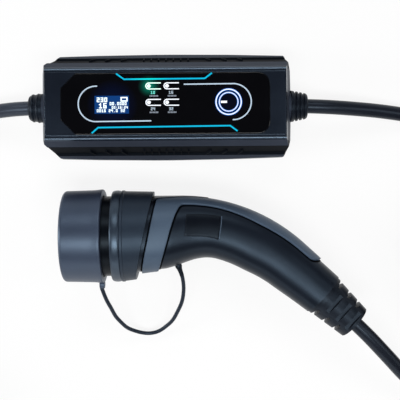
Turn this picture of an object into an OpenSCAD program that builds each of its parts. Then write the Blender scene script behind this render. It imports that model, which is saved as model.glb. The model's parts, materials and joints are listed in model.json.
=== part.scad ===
// Portable charger for an electric car: control box, supply lead with plug,
// vehicle lead in a coil, and vehicle connector with a dust cap on a tether.
// Millimetres, +Z up, origin at the middle of the control box's underside.

/* [Control box] */
// Length over the two ends
box_length = 190; // [176:1:206]
// Width over the two long sides
box_width = 81; // [76:0.5:88]
// Height from the underside to the top face
box_height = 48; // [46:0.5:54]
// Width of the flat underside
base_width = 66; // [60:1:70]
// Width of the top face between its ridges
ridge_width = 52.6; // [50.5:0.1:56]
// Height at which the tray meets the upper shell
split_height = 11; // [9:0.5:11.5]
// Wall of the two housings
box_wall = 2.5; // [2:0.1:3]
// Wall at the ends, where the glands screw in
end_wall = 5; // [4:0.5:6]
// Sag of the bowed long sides
side_bow = 2.2; // [1:0.1:3]
// Sag of the bowed ends
end_bow = 1.6; // [1:0.1:2.5]
// Slope of the ends, measured at the top face
end_slope = 5.5; // [3:0.5:8]
// Corner cut at the supply end
supply_corner = 13.5; // [8:0.5:14]
// Corner cut at the vehicle end, along the box
vehicle_corner = 5.5; // [4:0.5:8]
// Depth of the grip channel in each long side
channel_depth = 1.6; // [1:0.1:2]
// Number of ribs in each grip channel
rib_count = 7; // [3:2:11]
// Distance from rib to rib
rib_pitch = 5.6; // [4:0.1:7]

/* [Front panel] */
// Length of the panel
panel_length = 154.6; // [148:0.1:160]
// Width of the panel
panel_width = 45.2; // [42:0.1:47]
// Thickness of the panel
panel_thick = 2.5; // [2:0.1:3]
// Corner cut at the supply end of the panel
panel_cut = 11; // [6:0.5:14]
// Corner radius at the vehicle end of the panel
panel_round = 9; // [5:0.5:12]
// Gap between the panel and its pocket
panel_gap = 0.15; // [0.1:0.05:0.3]

/* [Boards] */
// Length of the power board
board_length = 146; // [140:1:150]
// Width of the power board
board_width = 54; // [50:1:56]
// Thickness of both boards
board_thick = 1.6; // [1.2:0.1:2]
// Height of the posts under the power board
post_height = 5; // [4:0.5:6]
// Gap between a screw and its hole
screw_gap = 0.1; // [0.05:0.05:0.2]

/* [Leads] */
// Diameter of both leads
cable_d = 11; // [10.5:0.1:11.5]
// Height of the lead's axis at the box
cable_height = 22; // [21:0.5:23]
// Length of the supply gland outside the box
supply_gland_length = 10.3; // [9:0.1:12]
// Length of the vehicle gland outside the box
output_gland_length = 12.7; // [11:0.1:14]
// Radius of the coil at the middle of its turns
coil_radius = 63; // [61:0.5:65]
// Width of the coil's ring
coil_width = 38; // [34:1:42]
// Height of the coil
coil_height = 44; // [40:1:46]
// Width of the strap round the coil
strap_width = 20; // [14:1:26]
// Thickness of the strap
strap_thick = 1.5; // [1:0.1:2]

/* [Mains plug] */
// Radius of the plug's body
plug_radius = 19; // [18:0.5:20]
// Length of the plug's body
plug_length = 34; // [30:1:38]
// Radius of a plug pin
pin_radius = 2.4; // [2:0.1:2.5]
// Length of a plug pin outside the body
pin_length = 19; // [17:0.5:20]
// Distance between the two pins
pin_pitch = 19; // [17:0.5:21]
// Length of the plug's strain relief
plug_boot_length = 20; // [20:1:26]

/* [Vehicle connector] */
// Radius of the dust cap at its rim
cap_radius = 35.2; // [34:0.1:37]
// Length of the dust cap
cap_length = 30; // [29:0.1:32]
// Wall of the dust cap round the nose
cap_side = 4.8; // [4.2:0.1:5.4]
// Wall of the nose
nose_wall = 2.7; // [2.2:0.1:3]
// Gap between the cap and the nose
cap_gap = 0.4; // [0.3:0.05:0.6]
// Length of bare nose between cap and collar
neck_length = 6.6; // [5:0.1:9]
// Wall of the collar round the nose
collar_wall = 4.1; // [3.4:0.1:5]
// Length of the collar along the top
collar_length = 30; // [27:0.5:33]
// Slant of the collar's rear face
collar_slant = 11.5; // [9:0.5:13]
// Room between the nose and the contact carrier
inlet_room = 4.8; // [4.4:0.1:5.2]
// Radius of a power contact's bore
power_bore = 3; // [2.8:0.1:3.2]
// Radius of a signal contact's bore
signal_bore = 1.5; // [1.4:0.1:1.7]

/* [Handle] */
// Radius of the bend in the handle's back
bend_radius = 135; // [125:1:145]
// Angle of the handle below the nose axis
bend_angle = 42.5; // [38:0.5:46]
// Straight length behind the collar
front_run = 21; // [18:1:24]
// Straight length after the bend
rear_run = 36; // [33:1:40]
// Height of the handle's back above the nose axis
back_height = 28; // [27:0.5:29]
// Wall of the two half shells
handle_wall = 3; // [2.4:0.1:3.4]
// Thickness of the grey cover
cover_thick = 1.3; // [1:0.1:1.8]
// Gap between the cover and the handle
cover_gap = 0.4; // [0.35:0.05:0.5]
// Width of the cover's front band
band_width = 14.5; // [12:0.5:17]
// Length of the cover's strip along the back
strip_length = 138; // [125:1:142]
// Length of the slotted strain relief
boot_length = 32; // [30:1:36]
// Diameter of the tether
tether_d = 3; // [2.6:0.1:3.4]

/* [Hidden] */
$fn = 96;
cut = 0.5;

// Control box section and plan
half_l = box_length / 2;
half_w = box_width / 2;
hip_low = 14;
hip_high = 22;
channel_low = 27;
channel_high = 41;
band_run = 3.5;
bevel_run = 5.2;
channel_out = half_w - band_run;
channel_in = ridge_width / 2 + bevel_run;
end_low = 12;
end_high = 24;
base_inset = 4;
vehicle_flank = 2.2;
plan_steps = 6;
plan_left = supply_corner - half_l;
plan_right = half_l - vehicle_corner;
ledge_thick = 2.5;
panel_floor = box_height - panel_thick;
ledge_under = panel_floor - ledge_thick;
cavity_l = half_l - end_wall;
groove_in = 1.9;
groove_width = 0.9;
rib_thick = 0.9;
rib_height = 6;
rib_lean = 40;
lean_x = [32, 44, 56];

// Gasket and housing screws
seal_width = 1.4;
seal_height = 2;
seal_gap = 0.1;
seal_in = 1.7;
split_half = base_width / 2 + (half_w - base_width / 2) * split_height / hip_low;
screw_x = half_l - 14;
screw_y = 22;
screw_r = 1.6;
screw_head_r = 3;
screw_head_h = 2.4;
screw_sink = 3.2;
screw_length = split_height + 8;
pillar_r = 5;

// Boards and what stands on them
board_z = box_wall + post_height;
board_top = board_z + board_thick;
board_post = [board_length / 2 - 7, board_width / 2 - 6];
post_r = 3.5;
small_screw_r = 1.2;
small_head_r = 2.6;
small_head_h = 1.8;
small_screw_bite = 4;
display_drop = 3;
display_top = ledge_under - display_drop;
display_under = display_top - board_thick;
display_size = [120, 36];
display_post = [54, 13];
light_gap = 0.2;
oled_size = [27, 16];
oled_at = [-40, -1];
window_gap = 0.6;
lamp_r = 1.6;
lamp_x = [-12.9, 0.5];
lamp_y = [0.8, 12.9];
key_at = [45.9, 0.8];
key_r = 8.5;
relay_size = [29, 16, 22];
relay_at = [24, 13];
core_x = -10;
core_outer = 14;
core_inner = 7;
core_height = 12;
supply_x = -40;
supply_size = [30, 28, 19];
terminal_size = [10, 30, 12];
terminal_bore = 2.5;

// Glands
cable_r = cable_d / 2;
thread_r = 8;
nut_r = 11.5;
nut_length = 5;
gland_pad_r = 10.8;
gland_tip_r = 9.7;
supply_gland_r = 11;
output_gland_r = 12.2;
rib_r = 1.3;

// Mains plug, lying along -Y with its axis a radius above the floor
plug_x = -181;
plug_entry = -177;
boot_tip_r = 7;
boot_root_r = 10;
pin_sink = 12;
pin_root = 0.3;
pin_tip = 1.4;
pin_gap = 0.05;
clip_width = 5;
clip_thick = 1.2;
clip_length = 17;
clip_groove = 3;

// Coil
coil_at = [272, -125];

// Vehicle connector: x runs back from the cap's face, y up the handle, z across it
connector_at = [-77, -98.1, cap_radius];
cap_wall = 2.6;
cap_front_r = cap_radius - 1.1;
cap_edge = 2.5;
cap_bead = 4;
cap_inner = cap_radius - cap_side;
nose_radius = cap_inner - cap_gap;
lug_y = cap_radius + 1;
lug_r = 3.2;
lug_width = 4;
nose_front = cap_wall + 1.6;
nose_flat = nose_radius - 3.5;
nose_inner = nose_radius - nose_wall;
collar_front = cap_length + neck_length;
collar_rear = collar_front + collar_length;
collar_web = collar_front + 15;
collar_gap = 0.2;
collar_radius = nose_radius + collar_gap + collar_wall;
collar_round = 4;
collar_taper = 2.7;
collar_tail_r = collar_radius - collar_taper;
collar_tilt = 3;
bulkhead = 6;
bulkhead_front = collar_web - bulkhead;
carrier_radius = nose_inner - inlet_room;
tail_room = carrier_radius - 2.5;
carrier_front = nose_front + 5;
carrier_flat = carrier_radius - 3;
contact_wall = 1.2;
contact_gap = 0.05;
contact_front = carrier_front + 2;
contact_step = bulkhead_front - 3;
contact_tail = collar_rear - 12;
power_r = power_bore + contact_wall;
signal_wall = 0.7;
signal_r = signal_bore + signal_wall;
tail_share = 0.65;
socket_depth = 27;
power_ring = carrier_radius - 6.5;
power_angle = [90, -90, 148, -148];
power_at = concat([[0, 0]], [for (a = power_angle) power_ring * [cos(a), sin(a)]]);
signal_ring = carrier_radius - 7.8;
signal_angle = [31, -31];
signal_at = [for (a = signal_angle) signal_ring * [cos(a), sin(a)]];
nose_seal_h = 2.5;
nose_seal_gap = 0.2;

// Handle: thickness under the back and half width, against distance along the back
handle_depth = [[0, 55], [12, 53.4], [21, 52.6], [28, 51.7], [33, 50], [39, 47], [46, 43.9], [54, 41.8],
    [75, 41.6], [93, 41.5], [123, 38.6], [145, 35.9], [170, 33.5]];
handle_half = [[0, 28.3], [12, 27.6], [21, 26.4], [39, 23], [57, 21.2], [75, 20.4],
    [93, 20], [123, 18.9], [145, 17.5], [170, 16.6]];
section_power = 0.8;
bend_run = bend_radius * bend_angle * PI / 180;
back_length = front_run + bend_run + rear_run;
slant_hold = 17;
slant_fade = 45;
ring_stations = [0, 6, 12, 17, 23, 28, 33, 39, 46, 54, 64, 75, 84, 93, 103, 113, 123, 131, 138, 145];
half_steps = 13;
cover_steps = 24;
corner_steps = 12;
band_start = 1.5;
band_wrap = 171;
corner_run = 9;
strip_wrap = 60;
strip_end_wrap = 26;
tip_run = 7;
band_end = band_start + band_width;
corner_start = band_end - corner_run / 2;
handle_screw_s = [30, 75, 118];
handle_screw_r = 1.6;
handle_boss_r = 4.2;
handle_head_r = 2.9;
handle_head_h = 2.4;
handle_sink = 8;
handle_bite = 9;

// Slotted strain relief at the handle's end
boot_flange = 3;
boot_flange_r = 16.6;
boot_end_r = 13.4;
boot_spigot = 11;
spigot_gap = 0.3;
slot_width = 3.3;
slot_depth = 3.4;
slot_pitch = 9.4;
window_depth = 3;
window_half = 8;
clamp_length = 9;
clamp_gap = 2;

// Tether rivet under the handle
rivet_s = 32;
rivet_head_r = 3;
rivet_head_h = 2;
rivet_shank_r = 1.4;
rivet_reach = 4;

// Bare plate on the side of the handle
plate_from = 4;
plate_to = 9;
plate_gap = 0.25;
plate_thick = 0.7;
plate_first = 5;
plate_last = 8;

// Lead routes, chosen by hand
supply_route = [[-85, 0, 22], [-105, 0, 22], [-120, -0.8, 21.5], [-136, -2.8, 19], [-150, -7, 15],
    [-163, -15, 10.5], [-173, -28, 7.5], [-178.5, -44, 6], [-180.5, -61, 5.5], [-181, -79, 5.5],
    [-181, -97, 6.4], [-181, -116, 8.9], [-181, -135.5, 13.4], [-181, -153, 17.5], [-181, -167, 19],
    [-181, -177, 19], [-181, -197, 19]];
out_route = [[85, 0, 22], [108, 0, 22], [125, -0.7, 21.5], [145, -1.8, 18], [165, -3.2, 13],
    [185, -5.5, 8.5], [205, -8.7, 6], [225, -13, 5.5], [244, -19, 5.5], [262, -27.5, 5.5],
    [280, -36, 5.5], [297, -46.5, 5.5], [312, -58, 5.5], [326.5, -71.5, 5.5]];
in_points = [[152.3, -176.2, 34], [166.2, -191, 30], [180.4, -206.3, 24], [196, -221, 16.5],
    [214, -235, 9.5], [236, -243.5, 6], [262, -244.5, 5.5], [288, -237, 6], [312, -223, 8],
    [334, -203, 12.5], [350, -179, 18.5], [358, -153, 24.5], [359.5, -126, 30], [354, -99, 34.5],
    [340, -76, 37.5], [320, -60, 38.5], [296.5, -52.5, 38.5]];
tether_route = [[-49, -138.8, 35], [-46.5, -146.5, 31.5], [-43.5, -153.5, 27], [-40.5, -160.5, 22],
    [-36.5, -166, 18], [-32.5, -170.5, 13.5], [-27.5, -173.5, 9.5], [-21, -175.8, 6.5],
    [-14.5, -176.2, 6], [-8, -174.3, 7.5], [-2, -170, 10], [3, -164.8, 14.5], [7, -157.5, 19.5],
    [10.6, -149, 24], [12, -139.5, 28.5], [11.4, -130.5, 33], [9.2, -123.2, 35.2]];

// Shared shapes
function mix(a, b, t) = a + (b - a) * t;
function clamped(t) = max(0, min(1, t));
function smooth(t) = let (k = clamped(t)) k * k * (3 - 2 * k);
function unit(v) = v / norm(v);
function signed_power(v, p) = v < 0 ? -pow(-v, p) : pow(v, p);
function sorted(list) = len(list) < 2 ? list : let (pivot = list[floor(len(list) / 2)])
    concat(sorted([for (v = list) if (v < pivot - 0.05) v]), [pivot],
        sorted([for (v = list) if (v > pivot + 0.05) v]));

// Rectangle with cut corners: half length, half width, and the two corner cuts
function cut_rectangle(a, b, left, right) = [
    [-a, -b + left.y], [-a + left.x, -b], [a - right.x, -b], [a, -b + right.y],
    [a, b - right.y], [a - right.x, b], [-a + left.x, b], [-a, b - left.y]
];

// A profile of radius against length, turned about X
module turned(profile) {
    rotate([90, 0, 90])
        rotate_extrude()
            polygon(profile);
}

// An outline in Y and Z, run along X and centred
module run_x(length) {
    rotate([90, 0, 90])
        linear_extrude(length, center = true)
            children();
}

// An outline in X and Z, run along Y and centred
module run_y(length) {
    rotate([90, 0, 0])
        linear_extrude(length, center = true)
            children();
}

// A round bar along X
module bar_x(r, length) {
    rotate([0, 90, 0])
        cylinder(r = r, h = length);
}

// Solid through a list of rings of equal count, fan ends, for convex rings
module swept(rings) {
    n = len(rings[0]);
    last = len(rings) - 1;
    sides = [for (i = [0:last - 1], j = [0:n - 1])
        [i * n + j, i * n + (j + 1) % n, (i + 1) * n + (j + 1) % n, (i + 1) * n + j]];
    first_end = [for (j = [n - 1:-1:0]) j];
    last_end = [for (j = [0:n - 1]) last * n + j];
    polyhedron([for (ring = rings) each ring], concat(sides, [first_end, last_end]), convexity = 6);
}

// Shell through a list of rings, each an outer run and then the inner run back
module swept_shell(rings) {
    n = len(rings[0]);
    half = n / 2;
    last = len(rings) - 1;
    sides = [for (i = [0:last - 1], j = [0:n - 1])
        [i * n + j, i * n + (j + 1) % n, (i + 1) * n + (j + 1) % n, (i + 1) * n + j]];
    first_end = [for (j = [0:half - 2]) [n - 1 - j, n - 2 - j, j + 1, j]];
    last_end = [for (j = [0:half - 2])
        [last * n + j, last * n + j + 1, last * n + n - 2 - j, last * n + n - 1 - j]];
    polyhedron([for (ring = rings) each ring], concat(sides, first_end, last_end), convexity = 10);
}

// Rings of a round cord along a route
function cord_rings(route, r, sides) = [
    for (i = [0:len(route) - 1])
        let (
            along = unit(route[min(i + 1, len(route) - 1)] - route[max(i - 1, 0)]),
            across = unit(cross(along, [0, 0, 1])),
            up = cross(across, along)
        )
        [for (j = [0:sides - 1]) let (a = 360 * (j + 0.5) / sides)
            route[i] + r * (cos(a) * across + sin(a) * up)]
];

// Control box
function box_half(depth) = [
    [base_width / 2, 0], [half_w, hip_low], [half_w, hip_high], [channel_out, channel_low],
    [channel_out - depth, channel_low + depth / 3], [channel_in - depth, channel_high - depth / 2],
    [channel_in, channel_high], [ridge_width / 2, box_height]
];
function cavity_half() = [
    [base_width / 2 - box_wall - 1, box_wall], [half_w - box_wall, hip_low],
    [half_w - box_wall, hip_high], [channel_out - channel_depth - box_wall, channel_low],
    [channel_in - channel_depth - box_wall, channel_high - 1],
    [channel_in - channel_depth - box_wall, ledge_under]
];
function both_sides(half) = concat(half, [for (i = [len(half) - 1:-1:0]) [-half[i].x, half[i].y]]);

// Bowed plan outline: the long sides and ends are shallow arcs between cut corners
function side_y(x) = half_w - side_bow * (x / half_l) * (x / half_l);
function end_x(y) = half_l - end_bow * (y / half_w) * (y / half_w);
function bowed_half() =
    let (
        right_y = side_y(plan_right) - vehicle_corner * vehicle_flank,
        left_y = side_y(plan_left) - supply_corner,
        side_steps = 2 * plan_steps
    )
    concat(
        [for (i = [0:plan_steps]) let (y = right_y * i / plan_steps) [end_x(y), y]],
        [for (i = [0:side_steps]) let (x = mix(plan_right, plan_left, i / side_steps)) [x, side_y(x)]],
        [for (i = [0:plan_steps - 1]) let (y = left_y * (1 - i / plan_steps)) [-end_x(y), y]]
    );
function bowed_plan() = let (half = bowed_half()) concat(
    half, [[-end_x(0), 0]], [for (i = [len(half) - 1:-1:1]) [half[i].x, -half[i].y]]
);

// Solid outer form of the box, with the channels cut to a depth
module box_form(depth) {
    intersection() {
        run_x(box_length)
            polygon(both_sides(box_half(depth)));
        linear_extrude(box_height)
            polygon(bowed_plan());
        run_y(box_width)
            polygon(both_sides([[half_l - base_inset, 0], [half_l, end_low], [half_l, end_high],
                [half_l - end_slope, box_height]]));
    }
}

// Room inside the two housings
module box_cavity() {
    corner = supply_corner + box_wall;
    intersection() {
        run_x(box_length)
            polygon(both_sides(cavity_half()));
        linear_extrude(box_height)
            polygon(cut_rectangle(cavity_l, half_w, [corner, corner], [corner, corner]));
    }
}

module at_corners(x, y) {
    for (sx = [-1, 1], sy = [-1, 1])
        translate([sx * x, sy * y, 0])
            children();
}

// Closed band of the gasket, with its sides moved out by grow
module seal_band(grow) {
    a = half_l - end_bow - seal_in;
    b = split_half - seal_in;
    d = seal_width / 2 + grow;
    corner = supply_corner + 1;
    slip = 0.59 * d;
    difference() {
        polygon(cut_rectangle(a + d, b + d, (corner + slip) * [1, 1], (corner + slip) * [1, 1]));
        polygon(cut_rectangle(a - d, b - d, (corner - slip) * [1, 1], (corner - slip) * [1, 1]));
    }
}

module panel_outline(grow) {
    a = panel_length / 2 + grow;
    b = panel_width / 2 + grow;
    c = panel_cut + 0.59 * grow;
    r = panel_round + grow;
    polygon([[a - r, -b], [a - r, b], [c - a, b], [-a, b - c], [-a, c - b], [c - a, -b]]);
    translate([a - r, 0])
        square([2 * r, 2 * (b - r)], center = true);
    for (s = [-1, 1])
        translate([a - r, s * (b - r)])
            circle(r = r);
}

module lower_housing() {
    color("#26282c")
    difference() {
        union() {
            difference() {
                intersection() {
                    box_form(channel_depth);
                    translate([0, 0, split_height / 2])
                        cube([2 * box_length, 2 * box_width, split_height], center = true);
                }
                box_cavity();
            }
            at_corners(screw_x, screw_y)
                cylinder(r = pillar_r, h = split_height);
            at_corners(board_post.x, board_post.y)
                cylinder(r = post_r, h = board_z);
        }
        translate([0, 0, split_height - seal_height])
            linear_extrude(seal_height + cut)
                seal_band(seal_gap);
        at_corners(screw_x, screw_y) {
            translate([0, 0, -cut])
                cylinder(r = screw_head_r + screw_gap, h = screw_sink + cut);
            cylinder(r = screw_r + screw_gap, h = split_height + cut);
        }
        at_corners(board_post.x, board_post.y)
            translate([0, 0, board_z - small_screw_bite - screw_gap])
                cylinder(r = small_screw_r + screw_gap, h = small_screw_bite + cut);
    }
}

// Upright ribs in the middle of each channel, and leaning ones to either side
module channel_ribs() {
    intersection() {
        box_form(0);
        union() {
            for (i = [0:rib_count - 1])
                channel_rib((i - (rib_count - 1) / 2) * rib_pitch, 0);
            for (x = lean_x, s = [-1, 1])
                channel_rib(s * x, s * rib_lean);
        }
    }
}

module channel_rib(x, lean) {
    translate([x, 0, channel_low + rib_height / 2])
        rotate([0, lean, 0])
            cube([rib_thick, box_width, rib_height], center = true);
}

module upper_housing() {
    boss_top = ledge_under + cut;
    color("#26282c")
    difference() {
        union() {
            difference() {
                union() {
                    intersection() {
                        box_form(channel_depth);
                        translate([0, 0, split_height + box_height / 2])
                            cube([2 * box_length, 2 * box_width, box_height], center = true);
                    }
                    channel_ribs();
                    for (s = [-1, 1])
                        translate([s * (half_l - end_wall / 2), 0, cable_height])
                            rotate([0, 90, 0])
                                cylinder(r = gland_pad_r, h = end_wall, center = true);
                }
                box_cavity();
            }
            at_corners(screw_x, screw_y)
                translate([0, 0, split_height])
                    cylinder(r = pillar_r - 0.5, h = boss_top - split_height);
            at_corners(display_post.x, display_post.y)
                translate([0, 0, display_top])
                    cylinder(r = post_r - 1, h = display_drop + cut);
        }
        translate([0, 0, panel_floor])
            linear_extrude(panel_thick + cut)
                panel_outline(panel_gap);
        for (s = [-1, 1])
            translate([0, s * (ridge_width / 2 - groove_in), box_height])
                cube([2 * box_length, groove_width, 2 * groove_width], center = true);
        panel_windows();
        at_corners(screw_x, screw_y)
            translate([0, 0, split_height - cut])
                cylinder(r = screw_r + screw_gap, h = screw_length - split_height + 2 * cut);
        at_corners(display_post.x, display_post.y)
            translate([0, 0, display_top - cut])
                cylinder(r = small_screw_r + screw_gap, h = small_screw_bite + cut);
        translate([-box_length, 0, cable_height])
            bar_x(thread_r, 2 * box_length);
    }
}

// Cut-outs under the panel for the screen, the lamps and the key
module panel_windows() {
    depth = ledge_thick + 2 * cut;
    low = ledge_under - cut;
    translate([oled_at.x, oled_at.y, low + depth / 2])
        cube([oled_size.x + 2 * window_gap, oled_size.y + 2 * window_gap, depth], center = true);
    for (x = lamp_x, y = lamp_y)
        translate([x, y, low])
            cylinder(r = lamp_r + window_gap, h = depth);
    translate([key_at.x, key_at.y, low])
        cylinder(r = key_r + window_gap, h = depth);
}

module housing_seal() {
    color("#151515")
    translate([0, 0, split_height - seal_height])
        linear_extrude(seal_height)
            seal_band(0);
}

module screw(r, length, head_r, head_h) {
    cylinder(r = r, h = length);
    translate([0, 0, -head_h])
        cylinder(r = head_r, h = head_h);
}

module housing_screws() {
    color("silver")
    at_corners(screw_x, screw_y)
        translate([0, 0, screw_sink])
            screw(screw_r, screw_length - screw_sink, screw_head_r, screw_head_h);
}

module front_panel() {
    color("#0a0a0e")
    translate([0, 0, panel_floor])
        linear_extrude(panel_thick)
            panel_outline(0);
}

module display_board() {
    color("#1d5a36")
    difference() {
        translate([0, 0, display_under + board_thick / 2])
            cube([display_size.x, display_size.y, board_thick], center = true);
        at_corners(display_post.x, display_post.y)
            translate([0, 0, display_under - cut])
                cylinder(r = small_screw_r + screw_gap, h = board_thick + 2 * cut);
    }
}

module oled_display() {
    height = panel_floor - light_gap - display_top;
    color("#1a2a80")
    translate([oled_at.x, oled_at.y, display_top + height / 2])
        cube([oled_size.x, oled_size.y, height], center = true);
}

module status_lights() {
    color("#40e090")
    for (x = lamp_x, y = lamp_y)
        translate([x, y, display_top])
            cylinder(r = lamp_r, h = panel_floor - light_gap - display_top);
}

module touch_sensor() {
    color("#c8a050")
    translate([key_at.x, key_at.y, display_top])
        cylinder(r = key_r, h = panel_floor - display_top);
}

module main_board() {
    color("#1d5a36")
    difference() {
        translate([0, 0, board_z + board_thick / 2])
            cube([board_length, board_width, board_thick], center = true);
        at_corners(board_post.x, board_post.y)
            translate([0, 0, board_z - cut])
                cylinder(r = small_screw_r + screw_gap, h = board_thick + 2 * cut);
    }
}

module board_screws() {
    bite = board_thick + small_screw_bite - screw_gap;
    color("silver") {
        at_corners(board_post.x, board_post.y)
            translate([0, 0, board_top])
                mirror([0, 0, 1])
                    screw(small_screw_r, bite, small_head_r, small_head_h);
        at_corners(display_post.x, display_post.y)
            translate([0, 0, display_under])
                screw(small_screw_r, bite - screw_gap, small_head_r, small_head_h);
    }
}

module power_relays() {
    color("#1c1c22")
    for (s = [-1, 1])
        translate([relay_at.x, s * relay_at.y, board_top + relay_size.z / 2])
            cube(relay_size, center = true);
}

module leakage_sensor() {
    color("#b06a2c")
    translate([core_x, 0, board_top])
        rotate_extrude()
            translate([core_inner, 0])
                square([core_outer - core_inner, core_height]);
}

module power_supply() {
    color("#d8b840")
    translate([supply_x, 0, board_top + supply_size.z / 2])
        cube(supply_size, center = true);
}

module terminals(side) {
    translate([side * (board_length / 2 - terminal_size.x), 0, board_top + terminal_size.z / 2])
        difference() {
            cube(terminal_size, center = true);
            for (i = [-1:1])
                translate([0, i * terminal_size.y / 3, 0])
                    rotate([0, 90, 0])
                        cylinder(r = terminal_bore, h = 2 * terminal_size.x, center = true);
        }
}

module input_terminals() {
    color("#2c7a3a")
    terminals(-1);
}

module output_terminals() {
    color("#2c7a3a")
    terminals(1);
}

// Half-round rib on a gland's profile
module gland_rib(x, r) {
    rotate([90, 0, 90])
        rotate_extrude()
            translate([r, x])
                circle(r = rib_r);
}

module supply_gland() {
    l = supply_gland_length;
    color("#1b1c20")
    translate([-half_l, 0, cable_height])
        mirror([1, 0, 0])
            difference() {
                union() {
                    turned([[0, -end_wall - nut_length], [thread_r - screw_gap, -end_wall - nut_length],
                        [thread_r - screw_gap, 0], [supply_gland_r, 0], [supply_gland_r, l * 0.2],
                        [gland_tip_r, l - 1], [gland_tip_r - 1, l], [0, l]]);
                    for (k = [0.3, 0.7])
                        gland_rib(l * k, mix(supply_gland_r, gland_tip_r, k) - rib_r / 2);
                }
                translate([-box_length / 2, 0, 0])
                    bar_x(cable_r, box_length);
            }
}

module output_gland() {
    l = output_gland_length;
    groove = 1.2;
    color("#1b1c20")
    translate([half_l, 0, cable_height])
        difference() {
            turned(concat(
                [[0, -end_wall - nut_length], [thread_r - screw_gap, -end_wall - nut_length],
                    [thread_r - screw_gap, 0], [output_gland_r, 0]],
                [for (k = [0:2])
                    let (x = l * (0.2 + 0.24 * k))
                    let (r = mix(output_gland_r, gland_tip_r, x / l), low = r - groove)
                    each [[r, x], [low, x + 0.3], [low, x + groove], [r - 0.2, x + groove + 0.3]]],
                [[gland_tip_r, l - 1], [gland_tip_r - 1, l], [0, l]]));
            translate([-box_length / 2, 0, 0])
                bar_x(cable_r, box_length);
        }
}

module gland_nuts() {
    color("#1b1c20")
    for (s = [-1, 1])
        translate([s * (cavity_l - nut_length / 2), 0, cable_height])
            rotate([0, 90, 0])
                difference() {
                    cylinder(r = nut_r, h = nut_length, center = true, $fn = 6);
                    cylinder(r = thread_r, h = nut_length + 2 * cut, center = true);
                }
}

module supply_cable() {
    color("#141416")
    swept(cord_rings(supply_route, cable_r, 10));
}

// Frame of the plug: +Z runs from the lead's entry to the pins
module at_plug() {
    translate([plug_x, plug_entry, plug_radius])
        rotate([90, 0, 0])
            children();
}

module plug_boot() {
    l = plug_boot_length;
    color("#141416")
    at_plug()
        difference() {
            rotate_extrude()
                polygon(concat([[0, 0], [boot_tip_r, 0]],
                    [for (k = [0:3]) let (z = l * (0.15 + 0.2 * k), r = mix(boot_tip_r, boot_root_r, z / l))
                        each [[r, z], [r - 0.9, z + 0.4], [r - 0.9, z + 1.6], [r, z + 2]]],
                    [[boot_root_r, l], [0, l]]));
            translate([0, 0, -cut])
                cylinder(r = cable_r, h = l + 2 * cut);
        }
}

module plug_body() {
    l = plug_length;
    r = plug_radius;
    color("#17181b")
    at_plug()
        translate([0, 0, plug_boot_length])
            difference() {
                rotate_extrude()
                    polygon([[0, 0], [boot_root_r + 1, 0], [r * 0.78, l * 0.18], [r * 0.94, l * 0.42],
                        [r, l * 0.62], [r, l - 1.5], [r - 1.5, l], [0, l]]);
                for (s = [-1, 1]) {
                    translate([0, s * pin_pitch / 2, l - pin_sink])
                        cylinder(r = pin_radius - pin_root + pin_gap, h = pin_sink + cut);
                    translate([s * r, 0, l])
                        cube([2 * clip_groove, clip_width + 0.4, 2 * clip_length], center = true);
                }
            }
}

module plug_pins() {
    color("#c9ccd0")
    at_plug()
        for (s = [-1, 1])
            translate([0, s * pin_pitch / 2, plug_boot_length + plug_length - pin_sink])
                rotate_extrude()
                    polygon([[0, 0], [pin_radius - pin_root, 0], [pin_radius - pin_root, pin_sink],
                        [pin_radius, pin_sink], [pin_radius, pin_sink + pin_length - pin_tip],
                        [pin_radius - 0.8 * pin_tip, pin_sink + pin_length], [0, pin_sink + pin_length]]);
}

module plug_earth_clips() {
    x = plug_radius - clip_groove + clip_thick / 2;
    color("#c9ccd0")
    at_plug()
        for (s = [-1, 1])
            translate([s * x, 0, plug_boot_length + plug_length - clip_length / 2])
                cube([clip_thick, clip_width, clip_length], center = true);
}

module vehicle_cable_out() {
    color("#141416")
    swept(cord_rings(out_route, cable_r, 10));
}

module vehicle_cable_in() {
    inside = boot_spigot + clamp_gap + clamp_length;
    start = [lead_point(-inside), lead_point(0), lead_point(boot_length)];
    color("#141416")
    swept(cord_rings(concat(start, in_points), cable_r, 10));
}

module vehicle_cable_coil() {
    color("#141416")
    translate([coil_at.x, coil_at.y, 0])
        rotate_extrude()
            translate([coil_radius - coil_width / 2, 0])
                square([coil_width, coil_height]);
}

module cable_strap() {
    color("#101012")
    translate([coil_at.x - coil_radius, coil_at.y, 0])
        difference() {
            translate([0, 0, (coil_height + strap_thick) / 2])
                cube([coil_width + 2 * strap_thick, strap_width, coil_height + strap_thick], center = true);
            translate([0, 0, strap_thick / 2 + coil_height / 2])
                cube([coil_width, 2 * strap_width, coil_height - strap_thick], center = true);
        }
}

// Frame of the vehicle connector
module at_connector() {
    translate(connector_at)
        children();
}

module dust_cap() {
    l = cap_length;
    color("#232529")
    at_connector()
        difference() {
            union() {
                turned([[0, 0], [cap_front_r - cap_edge, 0], [cap_front_r - cap_edge * 0.3, cap_edge * 0.3],
                    [cap_front_r, cap_edge], [cap_radius - 0.5, l - cap_bead],
                    [cap_radius, l - cap_bead + 0.8], [cap_radius, l - 0.8], [cap_radius - 0.8, l], [0, l]]);
                translate([l - lug_width, -lug_y, 0])
                    bar_x(lug_r, lug_width);
            }
            translate([cap_wall, 0, 0])
                bar_x(cap_inner, l);
        }
}

module nose_shell() {
    flat_end = cap_length - 1;
    color("#1d1e22")
    at_connector()
        difference() {
            translate([nose_front, 0, 0])
                bar_x(nose_radius, collar_web - nose_front);
            intersection() {
                bar_x(nose_inner, bulkhead_front);
                translate([-box_length / 2, nose_flat - nose_wall - box_width, -box_width / 2])
                    cube([box_length, box_width, box_width]);
            }
            bar_x(tail_room, collar_web + cut);
            translate([nose_front - cut, nose_flat, -nose_radius])
                cube([flat_end - nose_front, nose_radius, 2 * nose_radius]);
        }
}

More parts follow.
